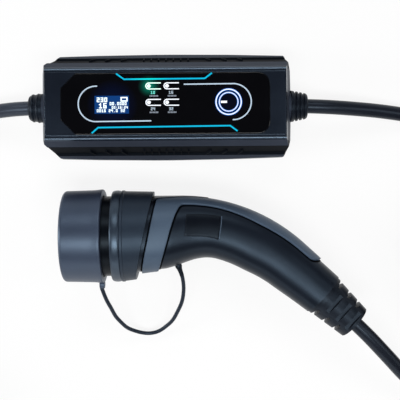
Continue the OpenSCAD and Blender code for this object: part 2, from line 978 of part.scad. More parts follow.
module nose_seal() {
    color("#5a2020")
    at_connector()
        translate([bulkhead_front - nose_seal_h, 0, 0])
            difference() {
                bar_x(nose_inner - nose_seal_gap, nose_seal_h);
                translate([-cut, 0, 0])
                    bar_x(carrier_radius + nose_seal_gap, nose_seal_h + 2 * cut);
                translate([-cut, nose_flat - nose_wall - nose_seal_gap, -nose_radius])
                    cube([nose_seal_h + 2 * cut, nose_radius, 2 * nose_radius]);
            }
}

module contact_carrier() {
    color("#303238")
    at_connector()
        difference() {
            intersection() {
                translate([carrier_front, 0, 0])
                    bar_x(carrier_radius, bulkhead_front - carrier_front);
                translate([0, carrier_flat - box_width, -box_width / 2])
                    cube([box_length, box_width, box_width]);
            }
            for (p = power_at)
                contact_hole(p, power_r);
            for (p = signal_at)
                contact_hole(p, signal_r);
        }
}

// Stepped hole that a contact seats in
module contact_hole(p, r) {
    translate([carrier_front - cut, p.x, p.y])
        bar_x(r + contact_gap, contact_step - carrier_front + cut);
    translate([contact_step - cut, p.x, p.y])
        bar_x(r * tail_share + contact_gap, bulkhead_front - contact_step + 2 * cut);
}

module contact_sleeve(p, r, bore) {
    translate([0, p.x, p.y])
        difference() {
            union() {
                translate([contact_front, 0, 0])
                    bar_x(r, contact_step - contact_front);
                translate([contact_step - cut, 0, 0])
                    bar_x(r * tail_share, contact_tail - contact_step + cut);
            }
            translate([contact_front - cut, 0, 0])
                bar_x(bore, socket_depth + cut);
        }
}

module power_contacts() {
    color("#d0d2d6")
    at_connector()
        for (p = power_at)
            contact_sleeve(p, power_r, power_bore);
}

module signal_contacts() {
    color("#d0d2d6")
    at_connector()
        for (p = signal_at)
            contact_sleeve(p, signal_r, signal_bore);
}

// Half space in front of the handle's slanted front face
module before_slant() {
    far = 3 * collar_radius;
    run_z = 2 * far;
    top = collar_rear;
    low = collar_rear - collar_slant;
    depth = handle_depth[0].y;
    grade = (top - low) / depth;
    translate([0, 0, -far])
        linear_extrude(run_z)
            polygon([[-far, -far], [top - grade * (back_height + far), -far],
                [top + grade * (far - back_height), far], [-far, far]]);
}

module front_collar() {
    rear_r = collar_tail_r;
    r = collar_radius;
    color("#1a1b1f")
    at_connector()
        difference() {
            intersection() {
                union() {
                    turned([[0, collar_front], [r - collar_round, collar_front],
                        [r - collar_round * 0.45, collar_front + 0.7],
                        [r - collar_round * 0.12, collar_front + 2.2],
                        [r, collar_front + collar_round], [r, collar_front + 9],
                        [r - 2.5, collar_front + 10], [0, collar_front + 10]]);
                    translate([collar_front + 7, 0, 0])
                        rotate([0, 0, collar_tilt])
                            turned([[0, 0], [r - 0.4, 0], [rear_r, collar_length], [0, collar_length]]);
                }
                before_slant();
            }
            translate([collar_front - cut, 0, 0])
                bar_x(nose_radius + collar_gap, collar_web - collar_front + cut);
            bar_x(tail_room + collar_gap, 2 * collar_rear);
        }
}

// Back line of the handle: point, slope and normal at a distance along it
function back_angle(s) = bend_angle * clamped((s - front_run) / bend_run);
function back_point(s) =
    s < front_run ? [collar_rear + s, back_height]
    : s < front_run + bend_run ?
        [collar_rear + front_run + bend_radius * sin(back_angle(s)),
            back_height - bend_radius * (1 - cos(back_angle(s)))]
    : back_point(front_run + bend_run - 0.001)
        + (s - front_run - bend_run) * [cos(bend_angle), -sin(bend_angle)];
function depth_at(s) = lookup(s, handle_depth);
function half_at(s) = lookup(s, handle_half);
function slant_at(s) = collar_slant * (1 - smooth((s - slant_hold) / slant_fade));

// Point on the handle, a turn from the back, moved out by grow
function handle_point(s, turn, grow) =
    let (
        a = back_angle(s),
        depth = depth_at(s),
        t = depth / 2 - (depth / 2 + grow) * signed_power(cos(turn), section_power),
        z = (half_at(s) + grow) * signed_power(sin(turn), section_power),
        flat = back_point(s) + t * [-sin(a), -cos(a)] - slant_at(s) * t / depth * [cos(a), -sin(a)]
    )
    [flat.x, flat.y, z];

handle_stations = sorted(concat([for (s = ring_stations) if (s < back_length - 2) s], [back_length]));
function half_shell_ring(s) = concat(
    [for (j = [0:half_steps]) handle_point(s, 180 * (1 - j / half_steps), 0)],
    [for (j = [0:half_steps]) handle_point(s, 180 * j / half_steps, -handle_wall)]
);

// Middle of the handle's section
function middle_point(s) =
    let (a = back_angle(s), t = depth_at(s) / 2)
    let (flat = back_point(s) + t * [-sin(a), -cos(a)] - slant_at(s) / 2 * [cos(a), -sin(a)])
    [flat.x, flat.y, 0];

module half_shell(boss_hole) {
    difference() {
        union() {
            swept_shell([for (s = handle_stations) half_shell_ring(s)]);
            for (s = handle_screw_s)
                translate(middle_point(s))
                    cylinder(r = handle_boss_r, h = half_at(s) - handle_wall / 2);
        }
        for (s = handle_screw_s)
            translate(middle_point(s))
                translate([0, 0, -cut])
                    cylinder(r = handle_screw_r + screw_gap, h = boss_hole + cut);
    }
}

module handle_left() {
    color("#202227")
    at_connector()
        half_shell(handle_bite + cut);
}

module handle_right() {
    color("#202227")
    at_connector()
        mirror([0, 0, 1])
            difference() {
                half_shell(2 * half_at(0));
                for (s = handle_screw_s)
                    translate(middle_point(s))
                        translate([0, 0, handle_sink])
                            cylinder(r = handle_head_r + screw_gap, h = half_at(0));
            }
}

module handle_screws() {
    color("silver")
    at_connector()
        for (s = handle_screw_s)
            translate(middle_point(s) - [0, 0, handle_sink])
                screw(handle_screw_r, handle_sink + handle_bite, handle_head_r, handle_head_h);
}

// How far the cover wraps round the handle, in degrees either side of the back
function cover_wrap(s) =
    let (
        strip = mix(strip_wrap, strip_end_wrap, clamped((s - band_end) / (strip_length - band_end))),
        corner = (band_wrap - strip_wrap) * pow(1 - clamped((s - corner_start) / corner_run), 3),
        tip = sqrt(clamped((strip_length - s) / tip_run))
    )
    strip * max(0.25, tip) + corner;
cover_stations = sorted(concat(
    [band_start],
    [for (k = [0:corner_steps]) corner_start + corner_run * (1 - pow(1 - k / corner_steps, 1 / 3))],
    [for (s = ring_stations) if (s > band_start + 1 && s < strip_length - tip_run - 1) s],
    [for (k = [1, 0.55, 0.25, 0]) strip_length - k * tip_run]
));
function cover_ring(s) =
    let (wrap = cover_wrap(s), low = cover_gap, high = cover_gap + cover_thick)
    concat(
        [for (j = [0:cover_steps]) handle_point(s, wrap * (1 - 2 * j / cover_steps), high)],
        [for (j = [0:cover_steps]) handle_point(s, wrap * (2 * j / cover_steps - 1), low)]
    );

module grip_cover() {
    color("#4d5663")
    at_connector()
        swept_shell([for (s = cover_stations) cover_ring(s)]);
}

// Plate that follows the handle's own grid of stations and steps
function plate_ring(s) =
    let (low = plate_gap, high = plate_gap + plate_thick)
    concat(
        [for (j = [plate_last:-1:plate_first]) handle_point(s, 180 * j / half_steps, high)],
        [for (j = [plate_first:plate_last]) handle_point(s, 180 * j / half_steps, low)]
    );

module side_plate() {
    color("#0c0d12")
    at_connector()
        swept_shell([for (i = [plate_from:plate_to]) plate_ring(ring_stations[i])]);
}

// Point on the lead's axis, a distance past the handle's end
function lead_point(d) =
    connector_at + middle_point(back_length) + d * [cos(bend_angle), -sin(bend_angle), 0];

// Frame at the handle's end: +X runs on along the lead
module at_handle_end() {
    translate(connector_at + middle_point(back_length))
        rotate([0, 0, -bend_angle])
            children();
}

module cable_boot() {
    taper = boot_length - boot_flange;
    end_room = min(depth_at(back_length) / 2, half_at(back_length)) - handle_wall;
    color("#17181b")
    at_handle_end()
        difference() {
            union() {
                translate([-boot_spigot, 0, 0])
                    bar_x(end_room - spigot_gap, boot_spigot + cut);
                bar_x(boot_flange_r, boot_flange);
                translate([boot_flange, 0, 0])
                    rotate([0, 90, 0])
                        cylinder(r1 = boot_flange_r - 0.3, r2 = boot_end_r, h = taper);
            }
            translate([-2 * boot_spigot, 0, 0])
                bar_x(cable_r, 2 * boot_length + 2 * boot_spigot);
            for (k = [0:2], s = [-1, 1]) {
                x = boot_flange + slot_width / 2 + k * slot_pitch;
                r = mix(boot_flange_r, boot_end_r, x / boot_length);
                translate([x, s * r, 0])
                    cube([slot_width, 2 * slot_depth, 3 * boot_flange_r], center = true);
                translate([x + slot_pitch / 2, 0, s * r])
                    cube([slot_width, 2 * window_half, 2 * window_depth], center = true);
            }
        }
}

module cable_clamp() {
    room = min(depth_at(back_length - boot_spigot) / 2, half_at(back_length - boot_spigot)) - handle_wall;
    color("#6a6d72")
    at_handle_end()
        translate([-boot_spigot - clamp_gap - clamp_length, 0, 0])
            difference() {
                bar_x(room - spigot_gap, clamp_length);
                translate([-cut, 0, 0])
                    bar_x(cable_r, clamp_length + 2 * cut);
            }
}

module cap_tether() {
    color("#141416")
    swept(cord_rings(tether_route, tether_d / 2, 8));
}

module tether_anchor() {
    p = handle_point(rivet_s, 180, 0);
    color("#141416")
    at_connector()
        translate([p.x, p.y + rivet_reach, 0])
            rotate([90, 0, 0]) {
                cylinder(r = rivet_shank_r, h = rivet_reach + rivet_head_h / 2);
                translate([0, 0, rivet_reach])
                    cylinder(r = rivet_head_r, h = rivet_head_h);
            }
}

lower_housing();
upper_housing();
housing_seal();
housing_screws();
front_panel();
display_board();
oled_display();
status_lights();
touch_sensor();
main_board();
board_screws();
power_relays();
leakage_sensor();
power_supply();
input_terminals();
output_terminals();
supply_gland();
output_gland();
gland_nuts();
supply_cable();
plug_boot();
plug_body();
plug_pins();
plug_earth_clips();
vehicle_cable_out();
vehicle_cable_coil();
vehicle_cable_in();
cable_strap();
cable_boot();
cable_clamp();
handle_left();
handle_right();
handle_screws();
grip_cover();
front_collar();
nose_shell();
contact_carrier();
power_contacts();
signal_contacts();
nose_seal();
dust_cap();
cap_tether();
tether_anchor();
side_plate();
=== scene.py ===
import json
from math import atan2, copysign, cos, degrees, exp, hypot, pi, radians, sin, sqrt
import bmesh
import bpy
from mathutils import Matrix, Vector


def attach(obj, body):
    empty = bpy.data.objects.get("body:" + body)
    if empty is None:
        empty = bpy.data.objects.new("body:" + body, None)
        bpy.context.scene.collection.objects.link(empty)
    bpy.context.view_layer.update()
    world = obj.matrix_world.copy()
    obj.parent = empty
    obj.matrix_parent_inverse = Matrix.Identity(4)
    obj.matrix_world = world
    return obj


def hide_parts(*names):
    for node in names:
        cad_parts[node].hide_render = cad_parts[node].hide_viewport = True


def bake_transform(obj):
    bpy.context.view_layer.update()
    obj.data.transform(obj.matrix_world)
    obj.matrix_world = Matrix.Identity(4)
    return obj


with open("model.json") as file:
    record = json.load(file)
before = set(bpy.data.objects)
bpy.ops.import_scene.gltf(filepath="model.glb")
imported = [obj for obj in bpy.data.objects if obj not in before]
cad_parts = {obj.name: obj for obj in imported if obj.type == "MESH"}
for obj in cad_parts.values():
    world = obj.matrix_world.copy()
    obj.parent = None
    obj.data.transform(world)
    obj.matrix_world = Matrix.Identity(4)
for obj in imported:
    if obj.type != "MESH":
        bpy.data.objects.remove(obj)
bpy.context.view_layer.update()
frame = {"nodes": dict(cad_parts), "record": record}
nodes = frame["nodes"]
scene = bpy.context.scene
mm = 0.001
print("frame loaded:", len(nodes), "nodes")


# small maths
def mix(a, b, t):
    return a + (b - a) * t


def clamp(t):
    return max(0.0, min(1.0, t))


def ease(t):
    t = clamp(t)
    return t * t * (3 - 2 * t)


def signedPower(v, p):
    return copysign(abs(v) ** p, v)


def lookUp(x, table):  # straight lines between the table's points
    for (x0, y0), (x1, y1) in zip(table, table[1:]):
        if x <= x1:
            return mix(y0, y1, (x - x0) / (x1 - x0))
    return table[-1][1]


def joined(rings):
    return [p for ring in rings for p in ring]


def inMetres(points):  # places given in mm
    return [tuple(v * mm for v in p) for p in points]


# shader maths: a socket that can be added, multiplied and so on
class Wire:
    def __init__(self, paint, socket):
        self.paint, self.socket = paint, socket

    def __add__(self, other):
        return self.paint.maths("ADD", self, other)

    def __radd__(self, other):
        return self.paint.maths("ADD", other, self)

    def __sub__(self, other):
        return self.paint.maths("SUBTRACT", self, other)

    def __rsub__(self, other):
        return self.paint.maths("SUBTRACT", other, self)

    def __mul__(self, other):
        return self.paint.maths("MULTIPLY", self, other)

    def __rmul__(self, other):
        return self.paint.maths("MULTIPLY", other, self)

    def __truediv__(self, other):
        return self.paint.maths("DIVIDE", self, other)

    def __rtruediv__(self, other):
        return self.paint.maths("DIVIDE", other, self)

    def __pow__(self, other):
        return self.paint.maths("POWER", self, other)


class Paint:  # one material and its nodes
    def __init__(self, name):
        self.material = bpy.data.materials.new(name)
        self.material.use_nodes = True
        self.tree = self.material.node_tree
        self.tree.nodes.clear()
        self.place = self.add("TexCoord", out="Object")

    def add(self, kind, sockets=None, out=0, stops=None, **settings):
        node = self.tree.nodes.new("ShaderNode" + kind)
        for key, value in settings.items():
            setattr(node, key, value)
        if stops:  # of a ramp, as place and grey level
            for stop, (at, level) in zip(node.color_ramp.elements, stops):
                stop.position, stop.color = at, (level, level, level, 1)
        for key, value in (sockets or {}).items():
            if isinstance(value, Wire):
                self.tree.links.new(value.socket, node.inputs[key])
            else:
                node.inputs[key].default_value = value
        return Wire(self, node.outputs[out]) if node.outputs else None

    def maths(self, operation, *values):
        return self.add("Math", dict(enumerate(values)), operation=operation)

    def noise(self, scale, detail, rough=0.5, place=None):
        return self.add("TexNoise", {"Vector": place or self.place, "Scale": scale, "Detail": detail,
                                     "Roughness": rough})

    def waves(self, kind, way, scale, bend, detail):
        sockets = {"Vector": self.place, "Scale": scale, "Distortion": bend, "Detail": detail}
        return self.add("TexWave", sockets, wave_type=kind, **{kind.lower() + "_direction": way})

    def cells(self, scale, **settings):
        return self.add("TexVoronoi", {"Vector": self.place, "Scale": scale}, "Distance", **settings)

    def stretched(self, scale):  # place, scaled along each axis
        return self.add("VectorMath", {0: self.place, 1: scale}, operation="MULTIPLY")

    def axis(self, letter):
        return self.add("SeparateXYZ", {0: self.place}, letter)

    def size(self, letter):  # distance from the middle
        return self.maths("ABSOLUTE", self.axis(letter))

    def above(self, value, level):  # 1 where value is over level
        return self.maths("GREATER_THAN", value, level)

    def nearness(self, spot, reach):  # 1 at a spot, fading to 0 at reach
        gap = self.add("VectorMath", {0: self.place, 1: spot}, "Value", operation="DISTANCE")
        return self.maths("MAXIMUM", 1 - gap / reach, 0.0)

    def ramp(self, value, low, high):  # 0 below low, 1 above high
        return self.add("ValToRGB", {0: value}, stops=[(low, 0), (high, 1)])

    def edges(self):  # raised edges made lighter: wear where hands rub, partly a painted edge highlight
        return self.ramp(self.add("NewGeometry", out="Pointiness"), 0.52, 0.6)

    def dust(self, scale):
        return self.ramp(self.noise(scale, 5, 0.7), 0.62, 0.8)

    def blend(self, factor, a, b):  # two colours
        return self.add("Mix", {0: factor, 6: a, 7: b}, 2, data_type="RGBA")

    def shades(self, factor, color, low, high):  # one colour, darker to lighter
        return self.blend(factor, rgba(color, low), rgba(color, high))

    def layered(self, factor, a, b):  # two shaders
        return self.add("MixShader", {0: factor, 1: a, 2: b})

    def bump(self, height, strength, depth):
        return self.add("Bump", {"Height": height, "Strength": strength, "Distance": depth})

    def shader(self, sockets):
        return self.add("BsdfPrincipled", sockets)

    def finish(self, shader):
        self.add("OutputMaterial", {"Surface": shader})
        return self.material

    def surface(self, sockets):
        return self.finish(self.shader(sockets))


def rgba(color, times=1.0):
    return tuple(c * times for c in color) + (1,)


# finishes
grainDepth = 0.00008


def plastic(paint, look, wornAndHighlit, cloud, grain, normal):
    return paint.shader({
        "Base Color": paint.blend(wornAndHighlit, paint.shades(cloud, look["color"], 0.8, 1.2), rgba(look["pale"])),
        "Roughness": look["rough"] + (cloud - 0.5) * 0.1 + (grain - 0.5) * 0.08,
        "Normal": normal,
        "Specular IOR Level": look["shine"],
        "Specular Tint": rgba(look["tint"]),
    })


def moulded(name, base, **changes):  # moulded plastic or rubber with a fine eroded grain
    look = dict(base, **changes)
    paint = Paint(name)
    cloud = paint.noise(look["cloud"], 4)
    grain = paint.noise(look["grain"], 3, 0.6)
    pits = paint.cells(look["grain"] * 0.55, feature="F1")
    # dust, and raised edges made lighter: wear that is partly painted as an edge highlight
    wornAndHighlit = paint.edges() * look["edgeRubAndHighlight"] + paint.dust(look["grain"] * 0.22) * look["dust"]
    relief = paint.bump(grain * 0.6 + pits * 0.4, look["relief"], grainDepth)
    return paint.finish(plastic(paint, look, wornAndHighlit, cloud, grain, relief))


def housingSkin(name, look):  # polished top and ridges; satin sides and ends whose lighter colour is partly painted light; dead matt grip channels darkened as painted shade
    paint = Paint(name)
    cloud = paint.noise(look["cloud"], 4)
    grain = paint.noise(look["grain"], 3, 0.6)
    relief = paint.bump(grain, look["relief"], grainDepth)
    height = paint.axis("Z")
    low, high = look["channel"]
    flank = paint.above(paint.size("Y"), look["side"])
    # painted light: the sides and ends get a lighter colour than the top, along with their satin finish
    satinAndLitFlanks = paint.maths("MAXIMUM", flank, paint.above(paint.size("X"), look["end"]))
    # painted shade: the recessed grip channels get a darker colour than the rest
    shadedRecess = flank * paint.above(height, low) * paint.above(high, height)

    def zone(skin):
        dust = paint.dust(look["grain"] * 0.2) * skin["dust"]
        return plastic(paint, dict(look, **skin), dust, cloud, grain, relief)

    body = paint.layered(satinAndLitFlanks, zone(look["top"]), zone(look["sides"]))
    return paint.finish(paint.layered(shadedRecess, body, zone(look["channels"])))


def polished(name, look):  # gloss plastic with smudges and hairline marks
    paint = Paint(name)
    smudge = paint.noise(30, 5, 0.6)
    hair = paint.noise(900, 2, 0.5, paint.stretched((1, 0.06, 1)))
    return paint.surface({
        "Base Color": paint.shades(smudge, look["color"], 0.85, 1.15),
        "Roughness": look["rough"] + paint.ramp(smudge, 0.45, 0.75) * 0.1 + (hair - 0.5) * 0.04,
        "Coat Weight": 0.4 + paint.ramp(smudge, 0.3, 0.6) * 0.4,
        "Normal": paint.bump(hair, 0.04, 0.00003),
        "Specular Tint": rgba((0.85, 0.92, 1.0)),
    })


def jacket(name, look):  # drawn cable jacket: fine lines and scuffs
    paint = Paint(name)
    skin = paint.noise(2600, 3, 0.6)
    scuff = paint.ramp(paint.noise(420, 5, 0.75), 0.6, 0.75)
    base = paint.shades(paint.noise(70, 4), look["color"], 0.75, 1.3)
    return paint.surface({
        "Base Color": paint.blend(scuff * 0.1, base, rgba((0.07, 0.08, 0.1))),
        "Roughness": look["rough"] + scuff * 0.15 + (skin - 0.5) * 0.15,
        "Normal": paint.bump(skin, 0.2, 0.00006),
        "Specular IOR Level": look["shine"],
        "Specular Tint": rgba(look["tint"]),
    })


def metal(name, look):  # plated or turned metal
    paint = Paint(name)
    lines = paint.noise(1500, 3, 0.6, paint.stretched(look["lines"]))
    stain = paint.noise(160, 4)
    return paint.surface({
        "Base Color": paint.shades(stain, look["color"], 0.85, 1.1),
        "Metallic": 0.9 + lines * 0.1,
        "Roughness": look["rough"] + (lines - 0.5) * 0.2 + (stain - 0.5) * 0.1,
        "Normal": paint.bump(lines, 0.12, 0.00004),
    })


def woven(name, look):  # plain weave of a narrow strap
    paint = Paint(name)
    over = paint.waves("BANDS", "Y", look["pitch"], 0.6, 1.0)
    under = paint.waves("BANDS", "DIAGONAL", look["pitch"] * 0.8, 0.4, 1.0)
    fuzz = paint.noise(5200, 3, 0.7)
    weave = over * 0.6 + under * 0.4
    return paint.surface({
        "Base Color": paint.shades(weave, look["color"], 0.45, 1.6),
        "Roughness": 0.82 + (fuzz - 0.5) * 0.2,
        "Normal": paint.bump(weave + fuzz * 0.3, 0.6, 0.0002),
        "Sheen Weight": 0.25,
    })


def board(name, look):  # circuit board with tracks under green mask
    paint = Paint(name)
    track = paint.ramp(paint.cells(260, distance="MANHATTAN"), 0.28, 0.34)
    return paint.surface({
        "Base Color": paint.shades(track, look["color"], 1.7, 0.8),
        "Roughness": 0.35 + track * 0.1,
        "Normal": paint.bump(track, 0.3, grainDepth),
    })


def winding(name, look):  # enamelled wire round a core
    paint = Paint(name)
    wire = paint.waves("RINGS", "Z", 420, 1.5, 2.0)
    return paint.surface({
        "Base Color": paint.shades(wire, look["color"], 0.5, 1.3),
        "Metallic": 0.4 + wire * 0.4,
        "Roughness": 0.3 + wire * 0.15,
        "Normal": paint.bump(wire, 0.5, 0.0002),
    })


def litInk(name, look):  # print that is lit from behind
    paint = Paint(name)
    flicker = paint.noise(800, 2)
    color = paint.shades(flicker, look["color"], 0.9, 1.05)
    # painted glow: near a lamp's spot the print takes on that lamp's light colour
    if "glowSpot" in look:
        color = paint.blend(paint.nearness(look["glowSpot"], look["reach"]), color, rgba(look["glowSpotColor"]))
    return paint.surface({
        "Base Color": paint.shades(flicker, look["color"], 0.4, 0.5),
        "Roughness": 0.3 + flicker * 0.1,
        "Specular IOR Level": 0.15,
        "Emission Color": color,
        "Emission Strength": look["glow"],
    })


printShift = 0.0008  # of all the print along the panel
lampSpot = (-0.0129 + printShift, 0.0129, 0.048)  # the lit icon
panelLook = {"color": (0.0007, 0.0007, 0.0014), "rough": 0.06, "green": (0.0, 0.3, 0.19),
             "greenGlowReach": 0.0088, "blueGlow": (0.0, 0.012, 0.09), "screen": (-0.0392, -0.001, 0.048),
             "screenGlowReach": 0.019, "key": (0.0467, 0.0008, 0.048), "keyGlowReach": 0.0135}


def panelGloss(name, look):  # gloss with painted glow on its face: green round the lit icon, blue round the screen and the key
    paint = Paint(name)
    smudge = paint.noise(38, 5, 0.65)
    hair = paint.noise(1400, 2, 0.5, paint.stretched((0.05, 1, 1)))
    # painted glow: the panel's face emits green round the lit icon and blue round the screen and the key
    green = paint.nearness(lampSpot, look["greenGlowReach"]) ** 2.0
    blueGlow = (paint.nearness(look["screen"], look["screenGlowReach"]) * 0.35
            + paint.nearness(look["key"], look["keyGlowReach"]) * 0.12)
    paintedBlueGlow = paint.blend(blueGlow, (0, 0, 0, 1), rgba(look["blueGlow"]))
    return paint.surface({
        "Base Color": paint.shades(smudge, look["color"], 0.8, 1.4),
        "Roughness": look["rough"] + paint.ramp(smudge, 0.5, 0.8) * 0.08 + (hair - 0.5) * 0.03,
        "Coat Weight": 0.5 + paint.ramp(smudge, 0.35, 0.6) * 0.3,
        "Emission Color": paint.blend(green, paintedBlueGlow, rgba(look["green"])),
        "Emission Strength": 1.0,
    })


housingLook = {"grain": 2300, "cloud": 38, "relief": 0.16, "tint": (0.55, 0.76, 1.0),
               "pale": (0.08, 0.095, 0.125), "end": 0.0905, "side": 0.0272, "channel": (0.0266, 0.0412),
               "top": {"color": (0.0034, 0.0044, 0.0092), "rough": 0.24, "shine": 1.0, "dust": 0.03},
               # sides and ends: satin, and a lighter colour that is partly painted light
               "sides": {"color": (0.03, 0.0365, 0.053), "rough": 0.5, "shine": 0.16, "dust": 0.06},
               # grip channels: a darker colour that is painted shade in the recess
               "channels": {"color": (0.0013, 0.0016, 0.003), "rough": 0.65, "shine": 0.1, "dust": 0.01}}
plainLook = {"rough": 0.5, "grain": 1800, "cloud": 45, "edgeRubAndHighlight": 0.1, "dust": 0.12, "pale": (0.09, 0.1, 0.125),
             "relief": 0.3, "shine": 0.5, "tint": (1, 1, 1)}
capLook = dict(plainLook, color=(0.0145, 0.0195, 0.039), rough=0.43, grain=1900, cloud=55, edgeRubAndHighlight=0.12,
               dust=0.06, pale=(0.12, 0.14, 0.18), relief=0.25, shine=1.0, tint=(0.56, 0.76, 1.0))
collarLook = dict(plainLook, color=(0.0055, 0.0085, 0.0165), rough=0.46, grain=2600, cloud=50, edgeRubAndHighlight=0.12,
                  dust=0.06, relief=0.12, tint=(0.54, 0.76, 1.0))
noseLook = dict(plainLook, color=(0.0012, 0.0017, 0.0034), rough=0.34, grain=2600, cloud=50, edgeRubAndHighlight=0.05,
                dust=0.03, relief=0.1, shine=0.12, tint=(0.64, 0.83, 1.0))
handleLook = dict(plainLook, color=(0.0036, 0.0048, 0.009), rough=0.36, grain=2500, cloud=42, edgeRubAndHighlight=0.06,
                  dust=0.05, relief=0.16, shine=0.28, tint=(0.54, 0.76, 1.0))
trimLook = dict(plainLook, color=(0.048, 0.072, 0.112), rough=0.47, grain=2400, cloud=60,
                pale=(0.11, 0.14, 0.18), relief=0.2, tint=(0.64, 0.84, 1.0))
plateLook = dict(plainLook, color=(0.0018, 0.0022, 0.0046), rough=0.36, grain=3000, cloud=80, dust=0.04,
                 relief=0.08, shine=0.16, tint=(0.6, 0.8, 1.0))
rubberLook = dict(plainLook, color=(0.0032, 0.0041, 0.0074), rough=0.4, grain=2200, cloud=90, edgeRubAndHighlight=0.05,
                  dust=0.03, relief=0.25, shine=0.22, tint=(0.56, 0.77, 1.0))
jacketLook = {"color": (0.005, 0.0058, 0.0102), "rough": 0.36, "shine": 0.3, "tint": (0.62, 0.8, 1.0)}
# painted light: the supply lead's jacket is a lighter copy of the same jacket, for the lamp light that falls
# on it
supplyLitLook = dict(jacketLook, color=(0.026, 0.0295, 0.042), shine=0.5)

finishes = {
    "housing_plastic": housingSkin("housingPlastic", housingLook),
    "panel_gloss": panelGloss("panelGloss", panelLook),
    "plate_gloss": moulded("plateGloss", plateLook),
    "screen": litInk("screenBlue", {"color": (0.0, 0.0345, 0.16), "glow": 0.8}),
    "lamp": polished("lampClear", {"color": (0.35, 0.8, 0.6), "rough": 0.15}),
    "circuit_board": board("circuitBoard", {"color": (0.02, 0.1, 0.045)}),
    "screw_steel": metal("screwSteel", {"color": (0.55, 0.56, 0.58), "rough": 0.32, "lines": (1, 1, 0.1)}),
    "relay_case": moulded("relayCase", plainLook, color=(0.02, 0.02, 0.026)),
    "copper_winding": winding("copperWinding", {"color": (0.55, 0.24, 0.08)}),
    "supply_tape": polished("supplyTape", {"color": (0.6, 0.42, 0.05), "rough": 0.3}),
    "terminal_green": moulded("terminalGreen", plainLook, color=(0.03, 0.2, 0.06), pale=(0.2, 0.4, 0.24)),
    "soft_rubber": moulded("softRubber", rubberLook),
    "cable_jacket": jacket("cableJacket", jacketLook),
    "plug_plastic": moulded("plugPlastic", handleLook, cloud=36),
    "contact_metal": metal("contactMetal", {"color": (0.7, 0.71, 0.73), "rough": 0.22, "lines": (0.1, 1, 1)}),
    "strap_fabric": woven("strapFabric", {"color": (0.012, 0.012, 0.015), "pitch": 320}),
    "clamp_plastic": moulded("clampPlastic", plainLook, color=(0.12, 0.125, 0.135), pale=(0.3, 0.3, 0.32)),
    "handle_plastic": moulded("handlePlastic", handleLook),
    "grey_trim": moulded("greyTrim", trimLook),
    "collar_plastic": moulded("collarPlastic", collarLook),
    "carrier_plastic": moulded("carrierPlastic", plainLook, color=(0.03, 0.032, 0.036)),
    "seal_red": moulded("sealRed", plainLook, color=(0.11, 0.02, 0.02), pale=(0.25, 0.1, 0.1)),
    "cap_rubber": moulded("capRubber", capLook),
}
slotOf = {part["node"]: part["material_slot"] for part in frame["record"]["subparts"]}
print("finishes made:", len(finishes))


# meshes and pieces
def meshOf(name, *solids):  # each solid is its points and its faces
    mesh = bpy.data.meshes.new(name)
    points, faces = [], []
    for solidPoints, solidFaces in solids:
        faces += [[len(points) + i for i in face] for face in solidFaces]
        points += [tuple(p) for p in solidPoints]
    mesh.from_pydata(points, [], faces)
    mesh.validate()
    mesh.update()
    return mesh


def piece(name, mesh, slotName, body="charger", replaced=(), material=None, smooth=35):
    made = bpy.data.objects.new(name, mesh)
    scene.collection.objects.link(made)
    mesh.materials.append(material or finishes[slotName])
    for face in mesh.polygons:
        face.use_smooth = True
    mesh.set_sharp_from_angle(angle=radians(smooth))
    if body:
        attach(made, body)
    if replaced:
        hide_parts(*replaced)
    return made


def built(name, slotName, *solids, **rest):  # a piece made of solids
    return piece(name, meshOf(name, *solids), slotName, **rest)


def gridFaces(rows, count, looped=False):  # quads between closed rows, looped back to the first or not
    total = rows * count
    return [tuple(k % total for k in (i * count + j, i * count + (j + 1) % count,
                                      (i + 1) * count + (j + 1) % count, (i + 1) * count + j))
            for i in range(rows if looped else rows - 1) for j in range(count)]


def loft(rings):  # closed skin through rings, with flat ends
    count = len(rings[0])
    last = (len(rings) - 1) * count
    ends = [tuple(range(count - 1, -1, -1)), tuple(range(last, last + count))]
    return joined(rings), gridFaces(len(rings), count) + ends


def shellLoft(rings):  # rings of an outer run and the inner run back, ends as strips
    count = len(rings[0])
    last = (len(rings) - 1) * count
    faces = gridFaces(len(rings), count)
    for j in range(count // 2 - 1):
        faces.append((count - 1 - j, count - 2 - j, j + 1, j))
        faces.append((last + j, last + j + 1, last + count - 2 - j, last + count - 1 - j))
    return joined(rings), faces


def turned(profile, middle, sides):  # a closed profile of length and radius, turned about X
    points = [middle + Vector((u, y, z)) for u, r in profile for y, z in circle(0, 0, r, sides)]
    return points, gridFaces(len(profile), sides, looped=True)


def arc(x, y, radius, first, last, count):
    return [(x + radius * cos(a), y + radius * sin(a))
            for a in (radians(mix(first, last, i / count)) for i in range(count + 1))]


def circle(x, y, radius, sides):
    return arc(x, y, radius, 0, 360, sides)[:-1]


def smoothRoute(points, steps):  # one smooth curve through a route's points
    route = [Vector(p) for p in points]
    ends = [2 * route[0] - route[1]] + route + [2 * route[-1] - route[-2]]
    found = []
    for a, b, c, d in zip(ends, ends[1:], ends[2:], ends[3:]):
        for i in range(steps):
            t = i / steps
            found.append(0.5 * (2 * b + (c - a) * t + (2 * a - 5 * b + 4 * c - d) * t * t
                                + (3 * b - a - 3 * c + d) * t * t * t))
    return found + [route[-1]]


def tube(path, radius, sides):  # radius is one value, or one for each point
    radii = [radius] * len(path) if isinstance(radius, float) else radius
    rings = []
    across = None
    for i, point in enumerate(path):
        along = (path[min(i + 1, len(path) - 1)] - path[max(i - 1, 0)]).normalized()
        across = along.orthogonal() if across is None else across - along * across.dot(along)
        across.normalize()
        up = along.cross(across)
        rings.append([point + radii[i] * (x * across + y * up) for x, y in circle(0, 0, 1, sides)])
    return loft(rings)


def lengthOf(path):
    return sum((b - a).length for a, b in zip(path, path[1:]))


